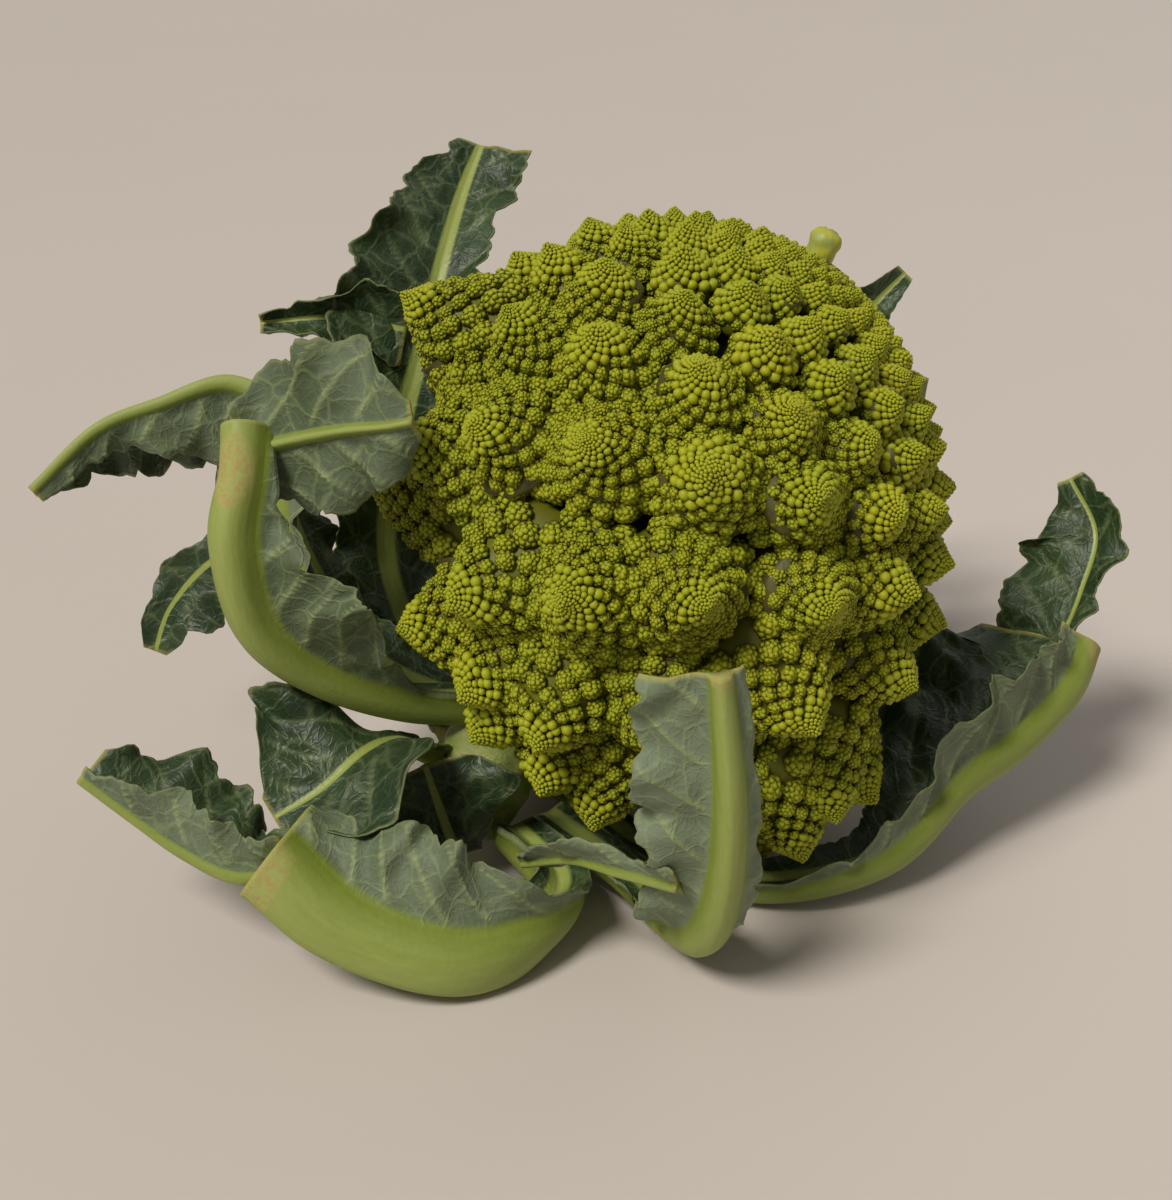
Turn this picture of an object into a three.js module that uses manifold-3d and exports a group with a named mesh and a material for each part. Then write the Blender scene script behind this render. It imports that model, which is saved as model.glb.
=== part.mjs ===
// A romanesco head as picked: a spiral curd on its cut stalk, with ten trimmed leaves around it.
// Millimetres, +Z up. The head lies tilted, resting on its lowest florets, its stalk and leaf ribs.
import * as THREE from "three";
import { mergeVertices } from "three/addons/utils/BufferGeometryUtils.js";
import Module from "manifold-3d";

const wasm = await Module();
wasm.setup();

// Driving dimensions
const HEAD_CENTRE = new THREE.Vector3(19, 5, 83);
const HEAD_AXIS = new THREE.Vector3(0.587, 0.275, 0.761).normalize(); // from the stalk to the apex
const HEAD_SIZE = new THREE.Vector3(76, 81, 82); // half its width, depth and height over the florets
const DROOP = 13; // how much further the florets by the lower right side hang out
const DROOP_SIDE = new THREE.Vector3(0.45, -0.38, -0.81).normalize();
const LAST_FLORET_ANGLE = THREE.MathUtils.degToRad(132); // the lowest florets, measured from the apex
const LOPSIDED = 0.12; // how much further down than that they reach on the head's low side
const LOW_SIDE = THREE.MathUtils.degToRad(-95);
const LOWEST_FLORET_SIDE = THREE.MathUtils.degToRad(-63);
const GOLDEN_ANGLE = Math.PI * (3 - Math.sqrt(5));
const LARGEST_FLORET = 37; // across
const MIDDLE_FLORET = 24;
const SMALLEST_FLORET = 12; // nearer the apex than this the florets run together in one tip
const SIZE_POWER = 1.05; // how fast florets grow with their distance from the apex
const PACKING = 0.95; // the dome's surface that a floret takes, over its width squared
// More florets, which grew outside the spiral; lift is how far they stand out of the dome
const SIDE_FLORETS = [
  { direction: new THREE.Vector3(-0.65, -0.73, -0.21).normalize(), width: 38, lift: 0 },
  { direction: new THREE.Vector3(-0.62, -0.69, -0.38).normalize(), width: 36, lift: 0 },
  { direction: new THREE.Vector3(-0.4, -0.76, -0.51).normalize(), width: 42, lift: 0 },
  { direction: new THREE.Vector3(0.5, -0.64, -0.58).normalize(), width: 36, lift: 0 },
  { direction: new THREE.Vector3(0.4, -0.62, -0.69).normalize(), width: 36, lift: 2 },
  { direction: new THREE.Vector3(-0.74, 0.04, 0.67).normalize(), width: 34, lift: 11 },
];
const STALK_RADIUS = 15;
const STALK_TOP = -34; // along the head's axis, from its middle
const STALK_END = -92;
const BLADE_THICKNESS = 1.2;
const RIB_DEPTH = 1.4; // a rib's depth over its half width
const CLEARANCE = 0.3; // between pieces that touch

const CURD_COLOUR = 0x9aa022;
const STALK_COLOUR = 0xb9c27a;
const LEAF_COLOUR = 0x47603a;

// ---- Solids ----

function solidOf(geometry) {
  const bare = geometry.clone();
  bare.deleteAttribute("normal");
  bare.deleteAttribute("uv");
  const merged = mergeVertices(bare, 1e-4);
  return new wasm.Manifold(
    new wasm.Mesh({
      numProp: 3,
      vertProperties: merged.attributes.position.array,
      triVerts: new Uint32Array(merged.index.array),
    }),
  );
}

function geometryOf(solid) {
  const mesh = solid.getMesh();
  return new THREE.BufferGeometry()
    .setAttribute("position", new THREE.BufferAttribute(mesh.vertProperties, 3))
    .setIndex(new THREE.BufferAttribute(mesh.triVerts, 1));
}

function largestBody(solid) {
  return solid.decompose().reduce((a, b) => (a.volume() > b.volume() ? a : b));
}

function turned(geometry, direction, position) {
  const upright = new THREE.Vector3(0, 0, 1);
  return geometry
    .applyQuaternion(new THREE.Quaternion().setFromUnitVectors(upright, direction))
    .translate(position.x, position.y, position.z);
}

function lathe(outline, segments) {
  const points = outline.map(([radius, height]) => new THREE.Vector2(radius, height));
  return new THREE.LatheGeometry(points, segments).rotateX(Math.PI / 2);
}

// What lies under the surface that the head rests on
function groundSolid() {
  return solidOf(new THREE.BoxGeometry(600, 600, 60).translate(0, 0, -30));
}

// ---- The curd: florets in one spiral on a dome ----

function floretWidth(fromApex) {
  return LARGEST_FLORET * Math.min(1, (fromApex / 1.66) ** SIZE_POWER);
}

// The florets' places, from the lowest up: each takes as much of the dome as its width needs.
function floretPlaces() {
  const places = [];
  const upright = new THREE.Vector3(0, 0, 1);
  const lean = new THREE.Quaternion().setFromUnitVectors(upright, HEAD_AXIS);
  const radius = HEAD_SIZE.y;
  let fromApex = LAST_FLORET_ANGLE;
  for (let n = 0; floretWidth(fromApex) > SMALLEST_FLORET; n++) {
    const around = LOWEST_FLORET_SIDE + n * GOLDEN_ANGLE;
    const width = floretWidth(fromApex);
    const lowered = fromApex * (1 + LOPSIDED * Math.cos(around - LOW_SIDE));
    const direction = new THREE.Vector3().setFromSphericalCoords(1, lowered, around);
    direction.set(direction.z, direction.x, direction.y).applyQuaternion(lean);
    places.push({ direction, width });
    fromApex -= (PACKING * width ** 2) / (2 * Math.PI * radius ** 2 * Math.sin(fromApex));
  }
  return places;
}

// The dome's surface in a direction from the head's middle
function domePoint(direction, depth) {
  const droop = DROOP * Math.max(0, direction.dot(DROOP_SIDE)) ** 6;
  return direction
    .clone()
    .multiply(HEAD_SIZE)
    .addScaledVector(direction, droop - depth)
    .add(HEAD_CENTRE);
}

// One floret, tip up at the origin; its foot reaches into the core.
function floretGeometry(width) {
  const outline = [
    [0, -1.3],
    [0.36, -1.1],
    [0.53, -0.6],
    [0.28, -0.2],
    [0, 0],
  ].map(([radius, height]) => [radius * width, height * width]);
  return lathe(outline, width > MIDDLE_FLORET ? 6 : 5);
}

// What the florets grow from: a dome under them, running down into a neck by the stalk.
function coreGeometry() {
  const core = new THREE.SphereGeometry(1, 18, 12);
  const place = core.attributes.position;
  for (let i = 0; i < place.count; i++) {
    const direction = new THREE.Vector3().fromBufferAttribute(place, i).normalize();
    const fromApex = direction.angleTo(HEAD_AXIS);
    const neck = Math.max(0, fromApex - LAST_FLORET_ANGLE);
    const depth = 0.8 * floretWidth(fromApex) + 2 + 38 * neck;
    const { x, y, z } = domePoint(direction, depth);
    place.setXYZ(i, x, y, z);
  }
  return core;
}

function curdGeometry() {
  let curd = solidOf(coreGeometry());
  for (const { direction, width, lift = 0 } of [...floretPlaces(), ...SIDE_FLORETS]) {
    const floret = turned(floretGeometry(width), direction, domePoint(direction, -lift));
    curd = curd.add(solidOf(floret));
  }
  const room = solidOf(stalkGeometry(CLEARANCE));
  return geometryOf(largestBody(curd.subtract(room).subtract(groundSolid())));
}

function stalkGeometry(spare) {
  const radius = STALK_RADIUS + spare;
  const outline = [
    [0, STALK_END - spare],
    [radius - 2, STALK_END - spare],
    [radius, STALK_END + 3],
    [radius, STALK_TOP + spare],
    [0, STALK_TOP + spare],
  ];
  return turned(lathe(outline, 20), HEAD_AXIS, HEAD_CENTRE);
}

// ---- Leaves ----

const RIB_SHARE = 0.5; // the part of a blade's grid that its rib takes

// One place along a blade's rib: where it is, the way the leaf's upper face looks, and for each
// side its width, the angle at which it leaves the rib towards the upper face and how much
// further it curls by its edge, in degrees. Left and right are as seen from the upper face,
// looking towards the tip. The last number is the rib's half width.
function station(at, up, left, right, rib) {
  return { at, up, left, right, rib };
}

function track(stations, pick) {
  const points = stations.map((place) => new THREE.Vector3(...pick(place)));
  return new THREE.CatmullRomCurve3(points, false, "catmullrom", 0.5);
}

// A blade's section at a distance from its rib's middle: how far out and how high it is, and its lean.
function sectionPoint([width, fold, curl], distance) {
  const start = THREE.MathUtils.degToRad(fold);
  const rate = (THREE.MathUtils.degToRad(curl) || 1e-6) / width;
  const lean = start + rate * distance;
  return {
    out: (Math.sin(lean) - Math.sin(start)) / rate,
    high: (Math.cos(start) - Math.cos(lean)) / rate,
    lean,
  };
}

// A flat box bent into a blade: its length follows the rib, its width the two sides' sections.
function bladeGeometry(stations, across, along) {
  const at = track(stations, (place) => place.at);
  const up = track(stations, (place) => place.up);
  const left = track(stations, (place) => place.left);
  const right = track(stations, (place) => place.right);
  const rib = track(stations, (place) => [place.rib, 0, 0]);
  const blade = new THREE.BoxGeometry(2, 2, 2, across, along, 1);
  const corner = blade.attributes.position;
  for (let i = 0; i < corner.count; i++) {
    const t = (corner.getY(i) + 1) / 2;
    const side = Math.sign(corner.getX(i));
    const share = Math.abs(corner.getX(i));
    const forward = at.getTangent(t);
    const upward = up.getPoint(t);
    upward.addScaledVector(forward, -upward.dot(forward)).normalize();
    const sideways = new THREE.Vector3().crossVectors(forward, upward).multiplyScalar(side);
    const ribHalf = Math.max(rib.getPoint(t).x, 0.4);
    const section = (side < 0 ? left : right).getPoint(t);
    const width = Math.max(section.x, ribHalf + 0.5);
    const inRib = share <= RIB_SHARE + 1e-6;
    const distance = inRib
      ? (share / RIB_SHARE) * ribHalf
      : ribHalf + ((share - RIB_SHARE) / (1 - RIB_SHARE)) * (width - ribHalf);
    const { out, high, lean } = sectionPoint([width, section.y, section.z], distance);
    const facing = lean * Math.min(1, distance / ribHalf);
    const outward = upward
      .clone()
      .multiplyScalar(Math.cos(facing))
      .addScaledVector(sideways, -Math.sin(facing));
    const swell = inRib ? RIB_DEPTH * Math.sqrt(Math.max(0, ribHalf ** 2 - distance ** 2)) : 0;
    const depth = corner.getZ(i) > 0 ? 0 : BLADE_THICKNESS + swell;
    const point = at
      .getPoint(t)
      .addScaledVector(sideways, out)
      .addScaledVector(upward, high)
      .addScaledVector(outward, -depth);
    corner.setXYZ(i, point.x, point.y, point.z);
  }
  return blade;
}

const LEAVES = {
  front_leaf: [
    [
      station([-10, -22, 14], [0, 0, 1], [4.8, 10, 10], [4.8, 10, 10], 4.2),
      station([10, -43, 11], [0, 0, 1], [5.4, 15, 0], [6, 15, 0], 4.4),
      station([21, -60, 10], [0, 0.4, 1], [10, 15, 0], [12, 15, 0], 4.6),
      station([28, -74, 17], [0, 1, 0.6], [11, 10, 10], [19, 10, 0], 4.5),
      station([31, -84, 36], [0, 1, 0.1], [9, 10, 10], [18, 10, 0], 3.8),
      station([31, -88, 62], [0, 1, -0.1], [7, 15, 10], [23, 5, 10], 3.2),
      station([28, -86, 92], [0, 1, -0.2], [6, 15, 10], [19, 8, 10], 2.2),
    ],
    [
      station([21, -83, 36], [0, 0.8, 0.5], [8, 0, 0], [8, 0, 0], 1.4),
      station([8, -77, 36], [0, 0.8, 0.5], [8, 0, 10], [8, 0, 10], 1.4),
      station([-3, -68, 33], [0, 0.8, 0.5], [11, 0, 10], [6, 0, 10], 1.2),
      station([-15, -63, 28], [0, 0.8, 0.5], [3, 0, 10], [3, 0, 10], 1),
    ],
  ],
  front_left_leaf: [
    [
      station([-19, -30, 15], [0.1, 0.2, 1], [6, 20, 0], [6, 20, 0], 5),
      station([-7, -49, 13], [0.3, 0.5, 0.9], [8, 40, 20], [7, 20, 0], 5.6),
      station([-12, -63, 11], [0.4, 0.6, 0.7], [17, 40, 20], [8, 20, 0], 6.4),
      station([-31, -75, 10], [0, 0.8, 0.6], [28, 35, 30], [8, 20, 0], 7),
      station([-57, -72, 18], [-0.1, 0.8, 0.6], [30, 35, 60], [9, 20, 0], 7.5),
      station([-75, -66, 30], [-0.3, 0.8, 0.5], [34, 30, 150], [9, 20, 0], 7.5),
    ],
    [
      station([-70, -66, 28], [0.2, 0.5, 0.85], [12, 50, 10], [12, 50, 0], 1.4),
      station([-82, -66, 26], [0.2, 0.5, 0.85], [14, 50, 10], [18, 50, 0], 1.4),
      station([-95, -61, 29], [0.2, 0.5, 0.85], [15, 50, 10], [24, 50, 0], 1.2),
      station([-107, -56, 35], [0.2, 0.5, 0.85], [13, 50, 10], [24, 50, 0], 1),
      station([-121, -50, 43], [0.2, 0.5, 0.85], [4, 50, 0], [8, 50, 0], 1),
    ],
  ],
  left_leaf: [
    [
      station([-27, -17, 46], [0.3, 0.2, 1], [7, 20, 0], [7, 20, 0], 5),
      station([-45, -20, 49], [0.3, 0.5, 0.8], [7, 20, 0], [6, 20, 0], 5),
      station([-65, -27, 60], [0.3, 0.8, 0.5], [26, 5, 10], [6, 10, 30], 5),
      station([-78, -31, 75], [0.3, 0.9, 0.3], [34, 0, 10], [6, 10, 40], 5.4),
      station([-82, -30, 96], [0.3, 0.9, 0.1], [16, 0, 10], [6, 10, 40], 5.4),
      station([-80, -23, 110], [0.3, 0.9, -0.2], [8, 0, 10], [6, 10, 40], 5),
      station([-80, -16, 119], [0.3, 0.9, -0.4], [6, 10, 10], [6, 10, 40], 5),
    ],
    [
      station([-82, -18, 113], [0, 0.9, -0.4], [10, 0, 0], [14, 0, 0], 1.4),
      station([-71, -19, 117], [0.1, 0.95, -0.2], [19, 0, 0], [19, 0, 0], 1.4),
      station([-57, -25, 122], [0.1, 0.95, -0.2], [20, 0, 10], [23, 0, 10], 1.2),
      station([-46, -30, 125], [0.1, 0.95, -0.2], [15, 0, 10], [18, 0, 10], 1),
      station([-39, -32, 127], [0.1, 0.95, -0.2], [5, 0, 10], [5, 0, 10], 1),
    ],
    [
      station([-80, -24, 92], [0, -0.8, 0.5], [9, 0, 0], [9, 0, 0], 1.4),
      station([-93, -18, 84], [0, -0.8, 0.5], [16, 0, 10], [9, 0, 10], 1.4),
      station([-103, -20, 73], [0, -0.8, 0.5], [12, 0, 10], [7, 0, 10], 1),
      station([-107, -24, 63], [0, -0.8, 0.5], [3, 0, 10], [3, 0, 10], 1),
    ],
  ],
  left_back_leaf: [
    [
      station([-31, -4, 36], [0.3, -0.2, 1], [7, 20, 0], [7, 20, 0], 5),
      station([-58, 6, 46], [0.6, -0.2, 0.8], [12, 20, 0], [12, 20, 0], 4.6),
      station([-77, 20, 75], [0.9, -0.1, 0.2], [16, 20, 0], [14, 20, 0], 4),
      station([-82, 32, 102], [0.8, 0, -0.6], [22, 40, 10], [18, 40, 10], 3.4),
      station([-95, 36, 111], [0.1, 0.1, -1], [26, 70, 10], [36, 70, 10], 3),
      station([-113, 31, 107], [0, 0.1, -1], [28, 75, 10], [16, 60, 10], 2.4),
      station([-129, 25, 102], [0, 0.1, -1], [22, 75, 10], [9, 60, 10], 1.8),
      station([-144, 13, 90], [0, 0.1, -1], [4, 60, 0], [4, 60, 0], 1.2),
    ],
  ],
  back_leaf: [
    [
      station([-35, -1, 27], [-0.2, 0.1, 1], [7, 20, 0], [6, 20, 0], 5),
      station([-47, 28, 32], [0.2, -0.2, 0.9], [12, 20, 0], [10, 20, 0], 5.4),
      station([-58, 52, 54], [0.5, -0.6, 0.6], [20, 10, 10], [16, 10, 10], 5.4),
      station([-54, 70, 84], [0.4, -0.75, 0.4], [27, 10, 10], [18, 10, 10], 5),
      station([-47, 83, 109], [0.2, -0.85, 0.5], [30, 10, 10], [18, 20, 20], 4.4),
      station([-42, 99, 128], [0.1, -0.85, 0.5], [26, 10, 20], [16, 20, 30], 4),
      station([-37, 117, 143], [0.1, -0.85, 0.5], [17, 10, 20], [18, 20, 10], 3.4),
      station([-32, 129, 154], [0, -0.85, 0.4], [8, 10, 0], [18, 20, 0], 2.4),
    ],
    [
      station([-52, 80, 112], [0, -0.9, 0.3], [12, 0, 20], [14, 0, 20], 1.4),
      station([-72, 82, 115], [0, -0.9, 0.3], [14, 20, 60], [12, 20, 60], 1.4),
      station([-94, 80, 114], [0, -0.9, 0.3], [4, 20, 40], [4, 20, 40], 1),
    ],
  ],
  right_leaf: [
    [
      station([-8, -5, 15], [0, 0, 1], [4.8, 10, 0], [4.8, 10, 0], 4.2),
      station([18, -30, 7.5], [0, 0, 1], [5, 10, 0], [5, 10, 0], 4.2),
      station([46, -44, 8], [0, 0, 1], [6, 30, 0], [7, 30, 0], 4.2),
      station([76, -38, 12], [-0.3, 0, 1], [12, 20, 10], [12, 60, 10], 4.2),
      station([96, -24, 25], [-0.4, 0.1, 0.9], [30, 30, 10], [20, 65, 10], 4.2),
      station([112, -12, 30], [-0.5, 0.1, 0.9], [40, 35, 10], [24, 65, 10], 4.4),
      station([127, 0, 39], [-0.7, 0, 0.7], [38, 35, 10], [20, 60, 10], 4.4),
      station([133, 9, 48], [-0.9, 0, 0.5], [32, 30, 10], [12, 50, 10], 4.2),
    ],
    [
      station([128, 10, 46], [-0.9, -0.2, 0.3], [24, 20, 0], [4, 10, 0], 1.4),
      station([135, 20, 58], [-0.8, -0.4, 0.3], [22, 20, 0], [9, 10, 0], 1.4),
      station([140, 31, 70], [-0.6, -0.6, 0.3], [20, 20, 0], [11, 10, 0], 1.2),
      station([134, 41, 82], [-0.5, -0.6, 0.3], [4, 20, 0], [4, 10, 0], 1),
    ],
  ],
  small_leaf: [
    [
      station([-38, -20, 32], [-0.5, -0.2, 0.8], [5, 10, 0], [5, 10, 0], 3),
      station([-47, -27, 40], [-0.4, -0.2, 1], [12, 0, 0], [10, 0, 0], 2.6),
      station([-55, -37, 42], [0, -0.3, 1], [24, 10, 30], [26, 10, 20], 2.2),
      station([-65, -45, 36], [0, -0.5, 1], [22, 10, 30], [30, 10, 20], 1.8),
      station([-76, -50, 31], [0, -0.6, 1], [6, 10, 0], [8, 10, 0], 1.2),
    ],
  ],
  dark_leaf: [
    [
      station([-32, -33, 8], [0, -0.8, 0.6], [6, 10, 0], [5, 10, 0], 2.6),
      station([-34, -40, 18], [0, -0.8, 0.6], [15, 10, 10], [12, 5, 0], 2.2),
      station([-37, -39, 28], [0, -0.8, 0.6], [17, 10, 10], [22, 0, 0], 1.8),
      station([-40, -36, 37], [0, -0.8, 0.6], [8, 10, 0], [14, 0, 0], 1.2),
    ],
  ],
  back_right_leaf: [
    [
      station([-25, 2, 24], [0, 0, 1], [6, 20, 0], [6, 20, 0], 4.6),
      station([-22, 32, 10], [0, -0.1, 1], [8, 20, 0], [9, 20, 0], 4.8),
      station([-8, 66, 12], [0, -0.4, 1], [16, 20, 10], [14, 20, 10], 5),
      station([22, 92, 34], [-0.2, -0.9, 0.6], [26, 15, 10], [22, 15, 10], 4),
      station([54, 105, 70], [-0.2, -1, 0.3], [26, 10, 10], [16, 10, 10], 3),
      station([80, 104, 104], [-0.2, -1, 0.1], [12, 10, 10], [10, 10, 10], 2),
      station([96, 107, 121], [-0.2, -1, 0.1], [3, 10, 10], [3, 10, 10], 1),
    ],
  ],
  right_back_leaf: [
    [
      station([-14, 2, 18], [0, 0, 1], [6, 20, 0], [6, 20, 0], 4.4),
      station([2, 40, 8], [0, 0, 1], [7, 10, 0], [7, 10, 0], 4.4),
      station([44, 70, 12], [-0.3, -0.2, 1], [18, 30, 10], [18, 30, 10], 4.4),
      station([76, 82, 36], [-0.6, -0.4, 0.6], [18, 30, 20], [22, 30, 20], 3.6),
      station([94, 86, 68], [-0.7, -0.6, 0.2], [16, 30, 40], [18, 30, 40], 2.8),
      station([100, 90, 94], [-0.7, -0.6, 0.1], [8, 30, 40], [8, 30, 40], 1.6),
    ],
  ],
};

function leafGeometry(blades) {
  const solids = blades.map((stations, i) =>
    solidOf(bladeGeometry(stations, i ? 4 : 8, 2 * stations.length - 2)),
  );
  const leaf = solids.reduce((whole, blade) => whole.add(blade));
  const room = solidOf(stalkGeometry(CLEARANCE));
  return geometryOf(largestBody(leaf.subtract(room).subtract(groundSolid())));
}

// ---- The head ----

const head = new THREE.Group();

function addMesh(name, geometry, colour) {
  const material = new THREE.MeshStandardMaterial({ color: colour, roughness: 0.6, metalness: 0 });
  const mesh = new THREE.Mesh(geometry, material);
  mesh.name = name;
  head.add(mesh);
}

addMesh("curd", curdGeometry(), CURD_COLOUR);
addMesh("stalk", stalkGeometry(0), STALK_COLOUR);
for (const [name, blades] of Object.entries(LEAVES)) {
  addMesh(name, leafGeometry(blades), LEAF_COLOUR);
}

// The origin is the middle of the head's footprint, on the surface it rests on.
const extent = new THREE.Box3().setFromObject(head, true);
const middle = extent.getCenter(new THREE.Vector3());
head.position.set(-middle.x, -middle.y, -extent.min.z);

export default head;
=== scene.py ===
"""The looks of a romanesco head: its spiral curd, its cut stalk and the ten leaves around it.

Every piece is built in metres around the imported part. The curd is a rule: florets in one spiral
on a dome, smaller florets in a spiral on each of them, and buds in a spiral on each of those.
"""

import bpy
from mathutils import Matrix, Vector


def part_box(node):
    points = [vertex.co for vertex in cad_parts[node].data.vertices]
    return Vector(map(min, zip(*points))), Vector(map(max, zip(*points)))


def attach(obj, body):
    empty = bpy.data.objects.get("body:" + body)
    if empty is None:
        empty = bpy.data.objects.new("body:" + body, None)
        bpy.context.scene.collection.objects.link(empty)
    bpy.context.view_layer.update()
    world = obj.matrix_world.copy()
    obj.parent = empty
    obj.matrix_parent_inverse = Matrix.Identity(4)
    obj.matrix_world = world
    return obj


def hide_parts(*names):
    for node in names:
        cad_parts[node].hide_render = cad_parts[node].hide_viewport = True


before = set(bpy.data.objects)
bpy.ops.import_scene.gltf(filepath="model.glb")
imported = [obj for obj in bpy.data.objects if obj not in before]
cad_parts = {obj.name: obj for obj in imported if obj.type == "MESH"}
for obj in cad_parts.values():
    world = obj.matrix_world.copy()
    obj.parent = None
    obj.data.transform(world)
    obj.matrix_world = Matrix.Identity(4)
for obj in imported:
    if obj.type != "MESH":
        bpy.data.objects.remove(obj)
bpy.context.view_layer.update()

import math

import bpy
import numpy as np
from bpy.props import FloatProperty, FloatVectorProperty, IntProperty, PointerProperty
from mathutils import Vector, noise

bl_info = {
    "name": "Romanesco Head",
    "version": (1, 0, 0),
    "blender": (4, 5, 0),
    "location": "3D View > Sidebar > Romanesco",
    "description": "Builds a romanesco head with its spiral curd, stalk and leaves",
    "category": "Add Mesh",
}

MM = 0.001
GOLDEN_ANGLE = math.pi * (3 - math.sqrt(5))

# The head, as the part has it, in millimetres before it is centred on the floor
HEAD_CENTRE = Vector((19, 5, 83))
HEAD_AXIS = Vector((0.587, 0.275, 0.761)).normalized()
HEAD_SIZE = Vector((76, 81, 82))
DROOP = 13
DROOP_SIDE = Vector((0.45, -0.38, -0.81)).normalized()
LAST_FLORET_ANGLE = math.radians(132)
LOPSIDED = 0.12
LOW_SIDE = math.radians(-95)
LOWEST_FLORET_SIDE = math.radians(-63)
# Florets that grew outside the spiral: the way each faces, its width and its height off the dome
SIDE_FLORETS = (
    ((-0.65, -0.73, -0.21), 38, 0),
    ((-0.62, -0.69, -0.38), 36, 0),
    ((-0.4, -0.76, -0.51), 42, 0),
    ((0.5, -0.64, -0.58), 36, 0),
    ((0.4, -0.62, -0.69), 36, 2),
    ((-0.74, 0.04, 0.67), 34, 11),
)
PACKING = 0.95
SIZE_POWER = 1.05
STUMP_SIDE = Vector((0.53, 0.17, 0.83)).normalized()
STALK_RADIUS = 15
STALK_TOP = -34
STALK_END = -92
RIB_DEPTH = 1.4


# ---- Sizes and colours ----


def colour(name, description, value):
    """A colour property."""
    return FloatVectorProperty(
        name=name, description=description, default=value, size=3, subtype="COLOR", min=0, max=1
    )


def length(name, description, millimetres):
    """A length property, with its default in millimetres."""
    return FloatProperty(
        name=name,
        description=description,
        default=millimetres * MM,
        min=0,
        subtype="DISTANCE",
        unit="LENGTH",
        precision=5,
    )


class RomanescoSizes(bpy.types.PropertyGroup):
    """Sizes of the curd and of the leaves' fine shape."""

    largest_floret: length("Largest floret", "Width of the outermost florets", 37)
    smallest_floret: length("Smallest floret", "Width of the florets at the apex", 1.7)
    smallest_bud: length("Smallest bud", "Width of the buds at a floret's tip", 0.8)
    fine_bud: length("Fine bud", "Width of the buds at a small floret's tip", 1.2)
    whole_from: length("Whole from", "A small floret this wide carries all its buds", 4.4)
    simple_from: length("Simple from", "A small floret this wide carries a few buds", 2.7)
    growth: FloatProperty(
        name="Growth",
        description="Width of a small floret over its distance from its floret's tip",
        default=0.28,
        min=0.1,
        max=0.6,
    )
    unevenness: length("Unevenness", "How far the curd strays from its rule", 2.2)
    blade_thickness: length("Blade thickness", "Thickness of a leaf between its veins", 0.8)
    vein_spacing: length("Vein spacing", "Distance between a leaf's side veins", 13)
    vein_height: length("Vein height", "How far side veins stand out under a leaf", 0.6)
    tooth_depth: length("Tooth depth", "Depth of the notches round a leaf", 1.6)
    seed: IntProperty(name="Seed", description="Seed of everything uneven", default=7, min=0)


class RomanescoColours(bpy.types.PropertyGroup):
    """Colours of the curd, the stalk and the leaves."""

    bud_light: colour("Bud, light", "Top of a yellow bud", (0.5, 0.47, 0.014))
    bud_green: colour("Bud, green", "Top of a green bud", (0.35, 0.39, 0.012))
    # Painted shade: the dark colour taken by the feet of buds, the rims of florets and the
    # branches
    bud_painted_shade: colour("Bud, deep", "Foot of a bud", (0.04, 0.034, 0.002))
    # Painted shade: the branches are pale, but this colour is darkened as they look in the gaps
    # under the florets
    branch: colour("Branch", "Branches under the florets", (0.1, 0.095, 0.012))
    stalk: colour("Stalk", "Skin of the stalk", (0.36, 0.4, 0.13))
    cut: colour("Cut", "Dried cut faces", (0.4, 0.31, 0.1))
    upper: colour("Leaf, upper", "Upper face of a leaf", (0.012, 0.032, 0.009))
    upper_light: colour("Leaf, upper light", "Paler patches of that face", (0.032, 0.065, 0.02))
    under: colour("Leaf, under", "Green underside of a leaf", (0.055, 0.085, 0.033))
    bloom: colour("Leaf, bloom", "Waxy bloom on that side", (0.19, 0.24, 0.15))
    vein: colour("Vein", "Side veins", (0.3, 0.36, 0.16))
    rib: colour("Rib", "Midrib's sides", (0.19, 0.25, 0.025))
    rib_pale: colour("Rib, pale", "Midrib's crest", (0.35, 0.41, 0.11))
    hem: colour("Hem", "Leaf's edge", (0.2, 0.23, 0.09))
    floor: colour("Floor", "Pale floor", (0.65, 0.59, 0.54))


# ---- The part's place ----


def lean():
    """The turn that takes straight up to the head's axis."""
    return Vector((0, 0, 1)).rotation_difference(HEAD_AXIS)


def centring():
    """The move that takes the head's own millimetres to the part's, from where its stalk lies."""
    corners = []
    for i in range(20):
        around = 2 * math.pi * i / 20
        x, y = math.sin(around), -math.cos(around)
        corners.append(Vector((x * STALK_RADIUS, y * STALK_RADIUS, STALK_TOP)))
        corners.append(Vector((x * STALK_RADIUS, y * STALK_RADIUS, STALK_END + 3)))
        corners.append(Vector((x * (STALK_RADIUS - 2), y * (STALK_RADIUS - 2), STALK_END)))
    turn = lean()
    places = np.array([turn @ corner + HEAD_CENTRE for corner in corners])
    return Vector(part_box("stalk")[0]) - Vector(places.min(0)) * MM


SHIFT = centring()


def placed(points):
    """Points of the head's own millimetres, in the part's metres."""
    return np.asarray(points, float) * MM + np.array(SHIFT)


# ---- Node trees ----


class Number:
    """A number in a node tree: sums and products of it become Math nodes."""

    def __init__(self, tree, socket):
        self.tree, self.socket = tree, socket

    def made(self, operation, *others):
        return Number(self.tree, maths(self.tree, operation, self.socket, *others))

    def __add__(self, other):
        return self.made("ADD", plain(other))

    def __radd__(self, other):
        return self.made("ADD", plain(other))

    def __sub__(self, other):
        return self.made("SUBTRACT", plain(other))

    def __rsub__(self, other):
        return self.made("MULTIPLY", -1.0).made("ADD", plain(other))

    def __mul__(self, other):
        return self.made("MULTIPLY", plain(other))

    def __truediv__(self, other):
        return self.made("DIVIDE", plain(other))

    def sine(self):
        return self.made("SINE")

    def cosine(self):
        return self.made("COSINE")

    def clamped(self):
        return self.made("MINIMUM", 1.0).made("MAXIMUM", 0.0)


def plain(value):
    """A number's socket, or the value itself."""
    return value.socket if isinstance(value, Number) else value


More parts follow.
